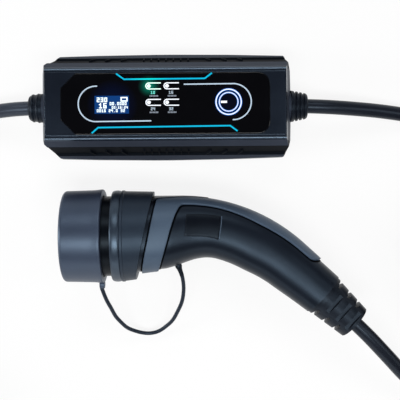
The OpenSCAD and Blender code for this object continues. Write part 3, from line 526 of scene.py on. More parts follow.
# camera, straight above, as the photo was taken
view = {"at": (0.025, -0.0715, 0.65), "focal": 816, "image": 400, "sensor": 36.0, "roll": -0.45}
camera = bpy.data.objects.new("camera", bpy.data.cameras.new("camera"))
camera.location = view["at"]
camera.rotation_euler = (0, 0, radians(view["roll"]))
camera.data.sensor_width = view["sensor"]
camera.data.lens = view["sensor"] * view["focal"] / view["image"]
camera.data.clip_start = 0.01
scene.collection.objects.link(camera)
scene.camera = camera
scene.view_settings.view_transform = "Standard"

# soft boxes round the camera
lampLooks = {
    "keyLamp": {"at": (0.0, -0.52, 1.35), "aim": (0.02, -0.1, 0.02), "size": (1.1, 0.32), "power": 14.0},
    "leftLamp": {"at": (-1.15, -0.12, 0.42), "aim": (0.0, -0.09, 0.03), "size": (0.4, 0.8), "power": 9.0},
    "frontLamp": {"at": (0.0, -1.25, 0.42), "aim": (0.0, -0.06, 0.03), "size": (1.2, 0.35), "power": 1.8},
    "backLamp": {"at": (0.0, 0.9, 1.1), "aim": (0.0, -0.05, 0.02), "size": (1.1, 0.4), "power": 6.0},
    "rightLamp": {"at": (1.0, -0.1, 0.9), "aim": (0.05, -0.08, 0.02), "size": (0.4, 0.8), "power": 3.0},
}
for lampName, lampLook in lampLooks.items():
    lamp = bpy.data.objects.new(lampName, bpy.data.lights.new(lampName, "AREA"))
    lamp.data.shape = "RECTANGLE"
    lamp.data.size, lamp.data.size_y = lampLook["size"]
    lamp.data.energy = lampLook["power"]
    lamp.location = lampLook["at"]
    aim = Vector(lampLook["aim"]) - Vector(lampLook["at"])
    lamp.rotation_euler = aim.to_track_quat("-Z", "Y").to_euler()
    scene.collection.objects.link(lamp)

# floor and surroundings: white to the eye, plain to the light
stageLook = {"flat": 6.0, "cove": 1.5, "rise": 1.6, "sides": 96, "drop": 0.0002, "paper": 0.86, "fibre": 0.01,
             "white": 0.86, "sky": 0.035, "skyColor": (0.92, 0.95, 1.0)}


def stageBowl():  # a flat floor that curves up into a low wall
    cove, sides = stageLook["cove"], stageLook["sides"]
    edge = [(stageLook["flat"] + x, y) for x, y in arc(0, cove, cove, -90, 0, 10)]
    edge.append((edge[-1][0], cove + stageLook["rise"]))
    rings = [[(x, y, height - stageLook["drop"]) for x, y in circle(0, 0, radius, sides)]
             for radius, height in edge]
    return joined(rings), gridFaces(len(rings), sides) + [tuple(range(sides))]


floor = bpy.data.objects.new("floor", meshOf("floor", stageBowl()))
scene.collection.objects.link(floor)
paper = Paint("paper")
white = (1, 1, 1)
rays = [paper.add("LightPath", out=way) for way in ("Is Camera Ray", "Is Glossy Ray", "Is Transmission Ray")]
seen = paper.maths("MINIMUM", sum(rays), 1.0)
tone = paper.shades(paper.noise(240, 4), white, stageLook["paper"] - stageLook["fibre"],
                    stageLook["paper"] + stageLook["fibre"])
matt = paper.add("BsdfDiffuse", {"Color": tone})
bright = paper.add("Emission", {"Color": rgba(white), "Strength": 1.0})
floor.data.materials.append(paper.finish(paper.layered(seen * stageLook["white"], matt, bright)))

world = bpy.data.worlds.new("surroundings")
scene.world = world
world.use_nodes = True
sky = world.node_tree.nodes["Background"].inputs
sky["Color"].default_value = rgba(stageLook["skyColor"])
sky["Strength"].default_value = stageLook["sky"]
print("camera, lamps and floor made")

# handle: the same lines as in the solids
connector = Vector((-0.077, -0.0981, 0.0352))
handle = {"start": 0.0666, "back": 0.028, "front": 0.021, "bend": 0.135, "angle": 42.5, "rear": 0.036,
          "power": 0.8, "slant": 0.0115, "slantHold": 0.017, "slantFade": 0.045,
          "depth": [(0, 55), (12, 53.4), (21, 52.6), (28, 51.7), (33, 50), (39, 47), (46, 43.9), (54, 41.8),
                    (75, 41.6), (93, 41.5), (123, 38.6), (145, 35.9), (170, 33.5)],
          "half": [(0, 28.3), (12, 27.6), (21, 26.4), (39, 23), (57, 21.2), (75, 20.4), (93, 20),
                   (123, 18.9), (145, 17.5), (170, 16.6)]}
handle["run"] = handle["bend"] * radians(handle["angle"])
handle["length"] = handle["front"] + handle["run"] + handle["rear"]


def softTable(s, table):  # the table with its corners eased
    reach = 5.0
    at = s / mm
    return sum(lookUp(max(0, at + k * reach / 2), table) for k in (-2, -1, 0, 1, 2)) / 5 * mm


def backAngle(s):
    return radians(handle["angle"]) * clamp((s - handle["front"]) / handle["run"])


def backPoint(s):
    a = backAngle(s)
    flat = min(s, handle["front"])
    past = max(0.0, s - handle["front"] - handle["run"])
    return Vector((handle["start"] + flat + handle["bend"] * sin(a) + past * cos(a),
                   handle["back"] - handle["bend"] * (1 - cos(a)) - past * sin(a)))


def slantAt(s):
    return handle["slant"] * (1 - ease((s - handle["slantHold"]) / handle["slantFade"]))


def handlePoint(s, turn, grow):  # a place on the handle, turn from its back, moved out by grow
    a = backAngle(s)
    depth, halfWidth = softTable(s, handle["depth"]), softTable(s, handle["half"])
    t = depth / 2 - (depth / 2 + grow) * signedPower(cos(turn), handle["power"])
    z = (halfWidth + grow) * signedPower(sin(turn), handle["power"])
    flat = (backPoint(s) + t * Vector((-sin(a), -cos(a)))
            - slantAt(s) * t / depth * Vector((cos(a), -sin(a))))
    return connector + Vector((flat.x, flat.y, z))


def handleMiddle(s):
    return (handlePoint(s, 0, 0) + handlePoint(s, pi, 0)) / 2


def leadPoint(distance):  # on the lead's axis, past the handle's end
    a = radians(handle["angle"])
    return handleMiddle(handle["length"]) + distance * Vector((cos(a), -sin(a), 0))


# supply lead, from the box to the mains plug; routes are in mm
supply = {"diameter": 0.011, "exit": (-0.1053, 0, 0.022), "sides": 20, "steps": 5, "route": [
    (-95, 0, 22), (-105, 0, 22), (-120, -0.8, 21.5), (-136, -2.8, 19), (-150, -7, 15), (-163, -15, 10.5),
    (-173, -28, 7.5), (-178.5, -44, 6), (-180.5, -61, 5.5), (-181, -79, 5.5), (-181, -97, 6.4),
    (-181, -116, 8.9), (-181, -135.5, 13.4), (-181, -153, 17.5), (-181, -167, 19), (-181, -177, 19),
    (-181, -193, 19)]}
supplyPath = smoothRoute(inMetres(supply["route"]), supply["steps"])
# its jacket is made lighter as painted light
supplyLead = built("supplyLead", "cable_jacket", tube(supplyPath, supply["diameter"] / 2, supply["sides"]),
                   replaced=["supply_cable"], material=jacket("supplyJacketLit", supplyLitLook))
print("supply lead:", round(lengthOf(supplyPath), 3), "m")

# vehicle lead, from the box through its coil to the connector
vehicle = {"diameter": 0.011, "exit": (0.1077, 0, 0.022), "sides": 20, "steps": 5, "tuck": 0.006,
           "bootLength": 0.032}
vehicle["out"] = [
    (98, 0, 22), (108, 0, 22), (125, -0.7, 21.5), (145, -1.8, 18), (165, -3.2, 13), (185, -5.5, 8.5),
    (205, -8.7, 6), (225, -13, 5.5), (244, -19, 5.5), (262, -27.5, 5.5), (280, -36, 5.5), (297, -46.5, 5.5),
    (312, -58, 5.5), (326.5, -71.5, 5.5)]
vehicle["back"] = [
    (152.3, -176.2, 34), (166.2, -191, 30), (180.4, -206.3, 24), (196, -221, 16.5), (214, -235, 9.5),
    (236, -243.5, 6), (262, -244.5, 5.5), (288, -237, 6), (312, -223, 8), (334, -203, 12.5),
    (350, -179, 18.5), (358, -153, 24.5), (359.5, -126, 30), (354, -99, 34.5), (340, -76, 37.5),
    (320, -60, 38.5), (296.5, -52.5, 38.5)]
coil = {"middle": Vector((0.272, -0.125)), "inner": 0.0496, "outer": 0.0764, "layers": 4, "climb": 60.0,
        "wholeTurns": 10, "step": 10.0}


def coilAngle(point):
    return degrees(atan2(point.y - coil["middle"].y, point.x - coil["middle"].x))


def coilPath(first, last):  # turns side by side, in layers that run inwards and outwards in turn
    begin, layers, climb = coilAngle(first), coil["layers"], coil["climb"]
    sweep = 360.0 * coil["wholeTurns"] + begin - coilAngle(last)
    each = (sweep - climb * (layers - 1)) / layers
    found = []
    count = round(sweep / coil["step"])
    for i in range(count + 1):
        swept = sweep * i / count
        layer = min(layers - 1, int(swept // (each + climb)))
        within = swept - layer * (each + climb)
        share = min(1.0, within / each)
        share = share if layer % 2 == 0 else 1 - share
        rise = ease((within - each) / climb) if layer < layers - 1 else 0.0
        radius = mix(coil["outer"], coil["inner"], share)
        angle = radians(begin - swept)
        height = mix(first.z, last.z, (layer + rise) / (layers - 1))
        found.append(Vector((coil["middle"].x + radius * cos(angle),
                             coil["middle"].y + radius * sin(angle), height)))
    return found


bootPlaces = (-vehicle["tuck"], vehicle["bootLength"] / 2, vehicle["bootLength"])
bootRoute = [leadPoint(distance) for distance in bootPlaces]
outPath = smoothRoute(inMetres(vehicle["out"]), vehicle["steps"])
backPath = smoothRoute(bootRoute + inMetres(vehicle["back"]), vehicle["steps"])[::-1]
vehiclePath = outPath[:-1] + coilPath(outPath[-1], backPath[0]) + backPath[1:]
vehicleLead = built("vehicleLead", "cable_jacket",
                    tube(vehiclePath, vehicle["diameter"] / 2, vehicle["sides"]),
                    replaced=["vehicle_cable_out", "vehicle_cable_coil", "vehicle_cable_in"])
print("vehicle lead:", round(lengthOf(vehiclePath), 3), "m")

for name, node in nodes.items():  # finishes of the solids that stay
    node.data.materials.clear()
    node.data.materials.append(finishes[slotOf[name]])

# cap tether, which stretches between the handle and the cap
tether = {"diameter": 0.003, "exit": (0.0092, -0.1232, 0.0352), "sides": 14, "steps": 9, "route": [
    (-49.7, -136, 35.4), (-49, -138.8, 35), (-46.5, -146.5, 31.5), (-43.5, -153.5, 27), (-40.5, -160.5, 22),
    (-36.5, -166, 18), (-32.5, -170.5, 13.5), (-27.5, -173.5, 9.5), (-21, -175.8, 6.5), (-14.5, -176.2, 6),
    (-8, -174.3, 7.5), (-2, -170, 10), (3, -164.8, 14.5), (7, -157.5, 19.5), (10.6, -149, 24),
    (12, -139.5, 28.5), (11.4, -130.5, 33), (9.2, -123.2, 35.2), (8.6, -121.4, 35.4)]}
tetherPath = smoothRoute(inMetres(tether["route"]), tether["steps"])[::-1]
capTether = built("capTether", "soft_rubber", tube(tetherPath, tether["diameter"] / 2, tether["sides"]),
                  body=None, replaced=["cap_tether"],
                  material=moulded("tetherRubber", rubberLook, color=(0.009, 0.0115, 0.019), shine=0.35))
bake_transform(capTether)
print("tether:", round(lengthOf(tetherPath), 3), "m")

# sleeve that anchors the tether in the handle, tapering onto it
anchor = {"radii": (0.0026, 0.0026, 0.0025, 0.0023, 0.0021, 0.0019, 0.00175, 0.00165, 0.0016),
          "sides": 28, "sink": 0.0022}
anchorWay = (tetherPath[1] - tetherPath[0]).normalized()
anchorPath = [tetherPath[0] - anchorWay * anchor["sink"]] + tetherPath[2:2 * len(anchor["radii"]):2]
built("tetherAnchor", slotOf["tether_anchor"], tube(anchorPath, anchor["radii"], anchor["sides"]),
      replaced=["tether_anchor"])

# strap that ties the coil
strap = {"x": (0.1885, 0.2295), "z": (0.0, 0.0455), "y": -0.125, "width": 0.02, "thick": 0.0015,
         "round": 0.007, "steps": 6,
         "edge": [(1, -0.94), (0.7, -1), (0.3, -1), (0, -0.94), (0, 0.94), (0.3, 1), (0.7, 1), (1, 0.94)]}


def strapRing(inset, y):
    low, high = strap["x"][0] + inset, strap["x"][1] - inset
    floorZ, top = strap["z"][0] + inset, strap["z"][1] - inset
    radius = strap["round"] - inset
    corners = [(high - radius, floorZ + radius, -90), (high - radius, top - radius, 0),
               (low + radius, top - radius, 90), (low + radius, floorZ + radius, 180)]
    return [Vector((px, y, pz)) for x, z, turn in corners
            for px, pz in arc(x, z, radius, turn, turn + 90, strap["steps"])]


def strapSolid():
    rings = [strapRing(strap["thick"] * inset, strap["y"] + strap["width"] / 2 * side)
             for inset, side in strap["edge"]]
    return joined(rings), gridFaces(len(rings), len(rings[0]), looped=True)


coilStrap = built("coilStrap", "strap_fabric", strapSolid(), replaced=["cable_strap"])
print("cords made")

# copies of the solids with their edges rounded; angles in degrees
rounding = {"sharp": 28, "flat": 0.6, "merge": 0.000002, "steps": 3, "crestSteps": 5, "shade": 50}


def solidOf(mesh):
    return [corner.co.copy() for corner in mesh.vertices], [list(face.vertices) for face in mesh.polygons]


def drilled(solid, holes):  # a solid with holes cut in it
    cutter = bpy.data.objects.new("cutter", meshOf("cutter", *holes))
    body = bpy.data.objects.new("drilled", meshOf("drilled", solid))
    outward = bmesh.new()
    outward.from_mesh(cutter.data)
    bmesh.ops.recalc_face_normals(outward, faces=outward.faces)
    outward.to_mesh(cutter.data)
    outward.free()
    for made in (cutter, body):
        scene.collection.objects.link(made)
    cut = body.modifiers.new("holes", "BOOLEAN")
    cut.object, cut.operation, cut.solver = cutter, "DIFFERENCE", "EXACT"
    result = bpy.data.meshes.new_from_object(body.evaluated_get(bpy.context.evaluated_depsgraph_get()))
    for made in (cutter, body):
        bpy.data.objects.remove(made)
    return solidOf(result)


def bevelled(work, edges, width, steps):
    bmesh.ops.bevel(work, geom=edges, offset=width, segments=steps, profile=0.5, affect="EDGES",
                    clamp_overlap=True)


def beyond(edge, axis, level):  # both ends of an edge are further out than level
    return all(abs(corner.co[axis]) > level for corner in edge.verts)


def roundedCopy(node, width, crest=None, material=None, cuts=None):  # width in mm
    name = node + "_rounded"
    solid = solidOf(nodes[node].data)
    mesh = meshOf(name, drilled(solid, cuts) if cuts else solid)
    work = bmesh.new()
    work.from_mesh(mesh)
    bmesh.ops.remove_doubles(work, verts=work.verts, dist=rounding["merge"])
    bmesh.ops.dissolve_limit(work, angle_limit=radians(rounding["flat"]), verts=work.verts, edges=work.edges)
    if crest:  # long edges of the top, rounded more
        longest = [edge for edge in work.edges
                   if edge.calc_length() > crest["longer"] and beyond(edge, 2, crest["above"])
                   and (beyond(edge, 1, crest["side"]) or beyond(edge, 0, crest["end"]))]
        bevelled(work, longest, crest["width"], rounding["crestSteps"])
    sharp = radians(rounding["sharp"])
    corners = [edge for edge in work.edges if edge.is_manifold and edge.calc_face_angle(0) > sharp]
    bevelled(work, corners, width * mm, rounding["steps"])
    work.to_mesh(mesh)
    work.free()
    made = piece(name, mesh, slotOf[node], replaced=[node], material=material, smooth=rounding["shade"])
    made.modifiers.new("evenShade", "WEIGHTED_NORMAL").keep_sharp = True
    made.data = bpy.data.meshes.new_from_object(made.evaluated_get(bpy.context.evaluated_depsgraph_get()))
    made.modifiers.clear()
    return made


# control box
boxEdges = {"upper_housing": 0.5, "lower_housing": 0.8, "front_panel": 0.4, "supply_gland": 0.4,
            "output_gland": 0.4}
boxCrests = {"upper_housing": {"above": 0.0479, "longer": 0.03, "side": 0.026, "end": 0.089, "width": 0.0013}}
for node, width in boxEdges.items():
    roundedCopy(node, width, crest=boxCrests.get(node))

# front panel print: lit lines, rings, icons and the screen's figures, let into the panel's face
ink = {"top": 0.04806, "bottom": 0.0478}
inkLooks = {
    # cyan lines turn green near the lit icon: a painted glow of its light
    "cyan": {"color": (0.0, 0.36, 0.55), "glow": 1.0, "glowSpot": lampSpot, "reach": 0.016,
             "glowSpotColor": (0.0, 0.82, 0.62)},
    "white": {"color": (0.8, 0.84, 0.9), "glow": 0.95},
    "loop": {"color": (0.4, 0.5, 0.6), "glow": 0.95},
    "litIcon": {"color": (0.75, 1.0, 0.9), "glow": 1.0},
    "green": {"color": (0.13, 0.62, 0.52), "glow": 1.0},
    "grey": {"color": (0.32, 0.39, 0.46), "glow": 1.0},
    # blue glow round the key's white rings: a painted halo
    "blueHalo": {"color": (0.05, 0.22, 0.75), "glow": 0.8},
    "figures": {"color": (0.85, 0.97, 1.0), "glow": 1.0},
    "faint": {"color": (0.22, 0.25, 0.3), "glow": 0.8},
}
inks = {inkName: litInk(inkName + "Ink", look) for inkName, look in inkLooks.items()}


def stroke(path, width, closed=False):  # a flat line of even width, squared off at its ends
    spots = [Vector(p) for p in path]
    count = len(spots)
    rings = []
    for i, spot in enumerate(spots):
        before = spots[i - 1] if i or closed else spot
        after = spots[(i + 1) % count] if i < count - 1 or closed else spot
        into, onward = (spot - before), (after - spot)
        into = into.normalized() if into.length else onward.normalized()
        onward = onward.normalized() if onward.length else into
        along = (into + onward).normalized()
        across = Vector((-along.y, along.x)) * width / 2 / max(0.4, along.dot(into))
        left, right = spot + across, spot - across
        rings.append([(left.x, left.y, ink["bottom"]), (right.x, right.y, ink["bottom"]),
                      (right.x, right.y, ink["top"]), (left.x, left.y, ink["top"])])
    if closed:
        return joined(rings), gridFaces(count, 4, looped=True)
    return loft(rings)


def disc(x, y, radius):
    rim = circle(x, y, radius, 28)
    return loft([[(px, py, ink[level]) for px, py in rim] for level in ("bottom", "top")])


def block(x, y, width, height, rise=0.0):  # a small square-cornered mark
    ring = [(x, y), (x + width, y), (x + width, y + height), (x, y + height)]
    return loft([[(px, py, level) for px, py in ring] for level in (ink["bottom"], ink["top"] + rise)])


# each row of a figure as three bits
figureRows = {"0": (7, 5, 5, 5, 7), "1": (2, 6, 2, 2, 7), "2": (7, 1, 7, 4, 7), "3": (7, 1, 7, 1, 7),
              "4": (5, 5, 7, 1, 1), "5": (7, 4, 7, 1, 7), "6": (7, 4, 7, 5, 7), "7": (7, 1, 2, 2, 2),
              "8": (7, 5, 7, 5, 7), "9": (7, 5, 7, 1, 7), ":": (0, 2, 0, 2, 0), ".": (0, 0, 0, 0, 2),
              " ": (0, 0, 0, 0, 0)}


def written(number, x, y, dot, rise=0.0):  # figures built of square dots, from their lower left
    marks = []
    for place, figure in enumerate(number):
        for row, bits in enumerate(figureRows[figure]):
            for column in range(3):
                if bits >> (2 - column) & 1:
                    marks.append(block(x + (place * 4 + column) * dot, y + (4 - row) * dot, dot, dot, rise))
    return marks


def shifted(solids):
    return [([(x + printShift, y, z) for x, y, z in points], faces) for points, faces in solids]


def printed(name, material, *solids, slotName="panel_gloss"):
    return built(name, slotName, *shifted(solids), material=inks[material], smooth=30)


lineWidths = {"cyan": 0.0011, "loop": 0.0009, "icon": 0.00075}
lines = [("upperLine", "cyan", [(-0.037, 0.0222), (-0.0312, 0.018), (0.0284, 0.0182), (0.0337, 0.0222)]),
         ("lowerLine", "cyan", [(-0.0553, -0.0216), (-0.0505, -0.0175), (0.047, -0.0168), (0.0523, -0.0208)]),
         ("leftLoop", "loop", arc(-0.052, 0, 0.0131, 86, 266, 36) + [(-0.0113, -0.0128)]),
         ("rightLoop", "loop", [(0.0129, 0.014)] + arc(0.0493, 0.0009, 0.0133, 88, -92, 36))]
for lineName, shade, route in lines:
    printed(lineName, shade, stroke(route, lineWidths[shade]))

# the key's blue rings are a painted halo of light round its white rings
key = {"x": 0.0459, "y": 0.0008, "sides": 56, "lift": 0.00002, "dash": (0.0401, 0.0, 0.0046, 0.0016),
       "rings": [("keyGlow", 0.0093, 0.0014, "blueHalo"), ("keyRing", 0.0093, 0.0007, "white"),
                 ("keyInnerGlow", 0.0069, 0.0012, "blueHalo"), ("keyInner", 0.0069, 0.0005, "white")]}
for ringName, radius, width, shade in key["rings"]:
    lift = key["lift"] if shade == "white" else 0.0
    points, faces = stroke(circle(key["x"], key["y"], radius, key["sides"]), width, closed=True)
    printed(ringName, shade, ([(x, y, z + lift) for x, y, z in points], faces))
printed("keyDash", "white", block(*key["dash"]))

# icons, each with a number and a row of plain bars under it
icons = {"places": [(-0.0129, 0.0129, "10"), (0.0005, 0.0129, "16"), (-0.0129, 0.0008, "24"),
                    (0.0005, 0.0008, "32")],
         "radius": 0.0022, "run": 0.0088, "dot": 0.00135, "number": (0.0014, -0.0059), "numberDot": 0.00044,
         "lit": "10", "bar": (0.0005, -0.0079), "barPitch": 0.0011, "barSize": (0.0008, 0.0011), "bars": 6}
for x, y, number in icons["places"]:
    isLit = number == icons["lit"]
    end, radius = x + icons["run"], icons["radius"]
    form = [(end, y + radius)] + arc(x, y, radius, 90, 270, 18) + [(end, y - radius)]
    figures = written(number, x + icons["number"][0], y + icons["number"][1], icons["numberDot"])
    bars = [block(x + icons["bar"][0] + icons["barPitch"] * k, y + icons["bar"][1], *icons["barSize"])
            for k in range(icons["bars"])]
    printed("icon" + number, "litIcon" if isLit else "white", stroke(form, lineWidths["icon"]),
            disc(x, y, icons["dot"]))
    printed("figures" + number, "green" if isLit else "grey", *figures)
    printed("bar" + number, "faint", *bars)

screenLook = {"glass": (-0.053, -0.0073, 0.0253, 0.0132, -0.00003), "lift": 0.00002, "chargeLine": 0.0009,
              "charge": [(-0.0334, 0.002), (-0.0291, 0.002), (-0.0291, 0.0045), (-0.0334, 0.0045)],
              "rows": [("230", -0.0514, 0.0012, 0.0007), ("16", -0.0498, -0.0034, 0.0008),
                       ("00.0000", -0.0419, -0.0011, 0.00046), ("00:16:24", -0.0404, -0.0037, 0.00038),
                       ("0016 24.0 32", -0.0514, -0.0062, 0.00044)]}
built("screenGlass", "screen", *shifted([block(*screenLook["glass"])]))
marks = joined(written(*row, screenLook["lift"]) for row in screenLook["rows"])
marks.append(stroke(screenLook["charge"], screenLook["chargeLine"], closed=True))
printed("screenFigures", "figures", *marks, slotName="screen")
print("panel print made")

# mains plug
plugEdges = {"plug_body": 1.0, "plug_boot": 0.4, "plug_pins": 0.4, "plug_earth_clips": 0.15}
plugPieces = [roundedCopy(node, width) for node, width in plugEdges.items()]

# connector parts copied from the solids, with deeper notches in the boot and a seat for the collar's bead
connectorEdges = {"front_collar": 0.7, "nose_shell": 0.4, "cable_boot": 0.5}
connectorSkins = {"nose_shell": moulded("nosePlastic", noseLook)}
notch = {"first": 0.00465, "pitch": 0.0094, "count": 3, "wide": 0.0034, "narrow": 0.0016, "depth": 0.0052,
         "rootRadius": 0.0166, "tipRadius": 0.0134, "reach": 0.025, "clear": 0.001}
bead = {"front": 0.0366, "width": 0.0072, "radius": 0.0343, "rise": 0.0012, "foot": 0.0006, "clear": 0.002,
        "steps": 24, "sides": 128}


def bootNotch(number, side):  # a wedge that opens a notch in the boot's side, where the real boot bends
    a = radians(handle["angle"])
    across = Vector((sin(a), cos(a), 0)) * side
    at = notch["first"] + number * notch["pitch"]
    radius = mix(notch["rootRadius"], notch["tipRadius"], at / vehicle["bootLength"])
    wide, narrow = notch["wide"] / 2, notch["narrow"] / 2
    top, root = radius + notch["clear"], radius - notch["depth"]
    ring = [(-wide, top), (wide, top), (narrow, root), (-narrow, root)]
    return loft([[leadPoint(at + along) + across * out + Vector((0, 0, z)) for along, out in ring]
                 for z in (-notch["reach"], notch["reach"])])


def beadSeat():  # the ring cut from the collar, where its bead sits
    low, high = bead["radius"] - bead["rise"], bead["radius"] + bead["clear"]
    start, end = bead["front"] - bead["clear"], bead["front"] + bead["width"]
    return turned([(start, low), (end, low), (end, high), (start, high)], connector, bead["sides"])


def beadProfile():
    half, base = bead["width"] / 2, bead["radius"] - bead["rise"]
    crown = [(bead["front"] + half + half * x, base + bead["rise"] * y)
             for x, y in arc(0, 0, 1, 180, 0, bead["steps"])]
    foot = base - bead["foot"]
    return crown + [(crown[-1][0], foot), (crown[0][0], foot)]


notches = [bootNotch(number, side) for number in range(notch["count"]) for side in (-1, 1)]
connectorCuts = {"cable_boot": notches, "front_collar": [beadSeat()]}
for node, width in connectorEdges.items():
    roundedCopy(node, width, material=connectorSkins.get(node), cuts=connectorCuts.get(node))
print("rounded copies made")

# bead round the collar's front edge
beadSkin = moulded("beadPlastic", collarLook, color=(0.006, 0.0085, 0.016), rough=0.36, shine=1.0,
                   relief=0.03)
built("collarBead", "collar_plastic", turned(beadProfile(), connector, bead["sides"]), material=beadSkin)

# dust cap, turned, with the lug that holds the tether; its rim's points are in mm, from the cap's end
cap = {"length": 0.03, "radius": 0.0352, "front": 0.0341, "round": 0.0026, "side": 0.0048, "wall": 0.0026,
       "sides": 128, "soft": 0.0005, "fillet": 0.0008,
       "rim": [(-8, -0.62), (-6, -0.5), (-4, -0.3), (-2.5, -0.1), (-1.5, 0), (-1.1, 0), (-0.4, -0.3),
               (0, -1)],
       "lugAt": 0.0362, "lugRadius": 0.0032, "lugWidth": 0.004, "lugSoft": 0.0006, "lugSides": 32}


def capProfile():
    inner, edge, end, wall = cap["radius"] - cap["side"], cap["round"], cap["length"], cap["wall"]
    outer = [(0.0, 0.0), (0.0, cap["front"] * 0.6)]
    outer += [(edge - y, cap["front"] - edge + x) for x, y in arc(0, 0, edge, 90, 0, 8)]
    outer += [(end + along * mm, cap["radius"] + drop * mm) for along, drop in cap["rim"]]
    return outer + [(end, inner + cap["soft"]), (end - cap["soft"], inner), (wall + cap["fillet"], inner),
                    (wall, inner - cap["fillet"]), (wall, 0.0)]


def lugProfile():
    start, end, r, soft = cap["length"] - cap["lugWidth"], cap["length"], cap["lugRadius"], cap["lugSoft"]
    return [(start, 0.0), (start, r - soft), (start + soft * 0.3, r - soft * 0.3), (start + soft, r),
            (end - soft, r), (end - soft * 0.3, r - soft * 0.3), (end, r - soft), (end, 0.0)]


lugMiddle = connector - Vector((0, cap["lugAt"], 0))
built("dustCap", "cap_rubber", turned(capProfile(), connector, cap["sides"]),
      turned(lugProfile(), lugMiddle, cap["lugSides"]), body="cap", replaced=["dust_cap"])

# handle shells
shell = {"stations": 110, "steps": 44, "wall": 0.003, "parting": 0.0001, "screws": (0.03, 0.075, 0.118),
         "sink": 0.008, "seat": 0.002, "proud": 0.0001, "headRadius": 0.003, "bossRadius": 0.0042,
         "screwRadius": 0.0017, "hole": (0.012, 0.04), "holeSides": 40}


def spread(first, last, count):
    return [mix(first, last, i / (count - 1)) for i in range(count)]


def halfRing(s, side):  # one half's section, its edges a little short of the parting
    turns = [side * turn for turn in spread(0, pi, shell["steps"])]
    lift = Vector((0, 0, side * shell["parting"]))
    outer = [handlePoint(s, turn, 0) + lift for turn in turns]
    inner = [handlePoint(s, turn, -shell["wall"]) + lift for turn in turns]
    return outer + inner[::-1]


def handleHalf(side):
    return shellLoft([halfRing(s, side) for s in spread(0, handle["length"], shell["stations"])])


def turnedDown(s, profile):  # a profile turned about an upright axis in the handle, its length downwards
    points, faces = turned(profile, Vector(), shell["holeSides"])
    middle = handleMiddle(s)
    return [middle + Vector((-p.z, p.y, -p.x)) for p in points], faces


def screwWell(s):  # the sleeve round a sunk screw, open to the outside
    outside, sink = softTable(s, handle["half"]) + shell["proud"], shell["sink"]
    boss, head, screw = shell["bossRadius"], shell["headRadius"], shell["screwRadius"]
    return turnedDown(s, [(outside, boss), (sink - shell["seat"], boss), (sink - shell["seat"], screw),
                          (sink, screw), (sink, head), (outside, head)])


def holeFor(s):
    (top, bottom), head = shell["hole"], shell["headRadius"]
    return turnedDown(s, [(top, 0.0), (top, head), (bottom, head), (bottom, 0.0)])


built("handleLeft", "handle_plastic", handleHalf(1), replaced=["handle_left"])
rightHalf = drilled(handleHalf(-1), [holeFor(s) for s in shell["screws"]])
built("handleRight", "handle_plastic", rightHalf, *[screwWell(s) for s in shell["screws"]],
      replaced=["handle_right"])

# grey cover: a band behind the collar that runs into a strip along the back
cover = {"gap": 0.0004, "thick": 0.0013, "start": 0.0036, "cornerStart": 0.0158, "cornerRun": 0.009,
         "bandWrap": 171, "stripWrap": [(0, 40.5), (33, 40.5), (49, 43), (65, 46.5), (83, 50), (111, 48.5),
                                        (129, 47.5), (140, 47)],
         "end": 0.138, "tip": 0.0085, "soft": 0.0005, "steps": 72, "girth": 0.38}


def coverWrap(s):  # degrees either side of the back
    strip = lookUp(s / mm, cover["stripWrap"])
    corner = 1 - clamp((s - cover["cornerStart"]) / cover["cornerRun"])
    past = max(0.0, s - cover["end"] + cover["tip"]) / cover["tip"]
    tip = sqrt(max(0.0, 1 - past * past))
    return strip * max(0.1, tip) + (cover["bandWrap"] - strip) * corner ** 3


def coverRing(s):
    wrap = coverWrap(s)
    step = 0.2 * mm
    slope = abs(coverWrap(s + step) - coverWrap(s - step)) / (2 * step / mm) * cover["girth"]
    soft = min(wrap * 0.4, cover["soft"] / mm / cover["girth"] * hypot(1, slope))
    ends = min(1.0, (s - cover["start"]) / cover["soft"], (cover["end"] - s) / cover["soft"])
    drop = cover["soft"] * (1 - sqrt(max(0.0, 1 - (1 - ends) ** 2)))
    low, high = cover["gap"], cover["gap"] + cover["thick"] - drop
    edge = [(wrap - soft * (1 - x), high - cover["soft"] * (1 - y)) for x, y in arc(0, 0, 1, 0, 72, 4)]
    edge = [(turn, max(low + 0.0001, grow)) for turn, grow in edge]
    inside = wrap - soft
    flat = [(turn, high) for turn in spread(inside, -inside, cover["steps"])]
    outer = edge + flat + [(-turn, grow) for turn, grow in edge[::-1]]
    under = [(turn, low) for turn, grow in outer]
    return [handlePoint(s, radians(turn), grow) for turn, grow in outer + under[::-1]]


coverStations = sorted({round(s, 6) for s in (
    spread(cover["start"], cover["start"] + cover["soft"], 5)
    + spread(cover["start"] + 0.001, cover["end"] - cover["tip"], 110)
    + [cover["cornerStart"] + cover["cornerRun"] * (1 - share ** (1 / 3)) for share in spread(1, 0, 49)]
    + [cover["end"] - cover["tip"] * share ** 2 for share in spread(1, 0, 25)]
    + spread(cover["end"] - cover["soft"], cover["end"], 5))})
built("gripCover", "grey_trim", shellLoft([coverRing(s) for s in coverStations]), replaced=["grip_cover"])

# near-black strip that shows round the cover: a painted shadow of the groove round it
grooveShadow = {"out": 0.0012, "low": 0.00005, "high": 0.00025, "steps": 72}
grooveShadowSkin = moulded("grooveShadowBlack", rubberLook, color=(0.0006, 0.0007, 0.0011), rough=0.6, shine=0.03)


def grooveShadowRing(s):  # the cover's outline, moved outward
    wrap = coverWrap(max(cover["start"], s - grooveShadow["out"])) + grooveShadow["out"] / mm / cover["girth"]
    turns = spread(radians(wrap), -radians(wrap), grooveShadow["steps"])
    return ([handlePoint(s, turn, grooveShadow["high"]) for turn in turns]
            + [handlePoint(s, turn, grooveShadow["low"]) for turn in turns[::-1]])


grooveShadowStations = [cover["start"] - grooveShadow["out"], cover["start"]] + [s + grooveShadow["out"] for s in coverStations]
built("coverGrooveShadow", "handle_plastic", shellLoft([grooveShadowRing(s) for s in grooveShadowStations]), material=grooveShadowSkin)


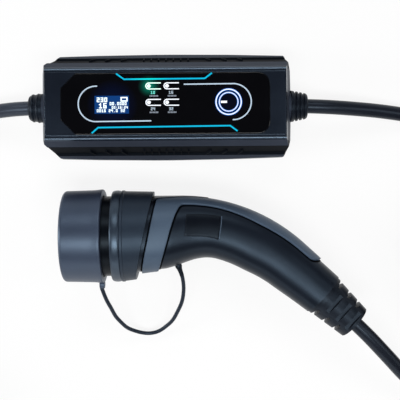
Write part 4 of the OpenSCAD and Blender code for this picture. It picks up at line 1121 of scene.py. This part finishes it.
# pads that follow the handle
def pad(look, place):  # place turns two shares into the way along and the turn in degrees
    def shares(length, count):
        edge = look["soft"] / length
        return [0, 0.3 * edge, edge] + spread(edge, 1 - edge, count)[1:-1] + [1 - edge, 1 - 0.3 * edge, 1]

    def sunk(i, count):  # how far an edge row is rounded down
        return (1.0, 0.3, 0.0)[min(i, count - 1 - i, 2)]

    def spot(u, v, grow):
        s, turn = place(u, v)
        return handlePoint(s, radians(turn), grow)

    alongs, acrosses = shares(look["length"], look["rows"]), shares(look["width"], look["columns"])
    rings = []
    for i, u in enumerate(alongs):
        drops = [min(1.0, sunk(i, len(alongs)) + sunk(j, len(acrosses))) for j in range(len(acrosses))]
        top = [spot(u, v, look["high"] - look["soft"] * drop) for v, drop in zip(acrosses, drops)]
        rings.append(top + [spot(u, v, look["low"]) for v in acrosses[::-1]])
    return shellLoft(rings)


# bare plate on the side, with a thin light grey lip at its rear: a painted highlight of the plate's rear edge
plate = {"length": 0.026, "width": 0.0155, "low": 0.00015, "high": 0.00095, "soft": 0.0003, "rows": 22,
         "columns": 14, "corners": ((0.028, 63.0), (0.0535, 64.0), (0.0307, 92.5), (0.0562, 101.5))}
highlightLip = {"length": 0.0006, "width": 0.0155, "low": 0.00015, "high": 0.0013, "soft": 0.0002, "rows": 3,
       "columns": 14, "gap": 0.0002}


def platePlace(u, v):
    frontTop, rearTop, frontLow, rearLow = plate["corners"]
    return [mix(mix(frontTop[i], rearTop[i], u), mix(frontLow[i], rearLow[i], u), v) for i in (0, 1)]


def highlightLipPlace(u, v):
    s, turn = platePlace(1, v)
    return s + highlightLip["gap"] + highlightLip["length"] * u, turn


built("sidePlate", "plate_gloss", pad(plate, platePlace), replaced=["side_plate"])
# light grey lip: a painted highlight along the plate's rear edge
built("plateEdgeHighlight", "grey_trim", pad(highlightLip, highlightLipPlace))

# black spine along the top of the grey cover
spine = {"length": 0.0405, "width": 0.016, "low": 0.0012, "high": 0.0021, "soft": 0.0003, "rows": 40,
         "columns": 16, "start": 0.0008, "wide": 23.0, "slim": 8.0, "flare": 11.0, "flareRun": 0.003}


def spinePlace(u, v):
    s = spine["start"] + spine["length"] * u
    flare = spine["flare"] * exp((spine["start"] - s) / spine["flareRun"])
    return s, (2 * v - 1) * (mix(spine["wide"], spine["slim"], u) + flare)


built("coverSpine", "handle_plastic", pad(spine, spinePlace))
print("connector made")
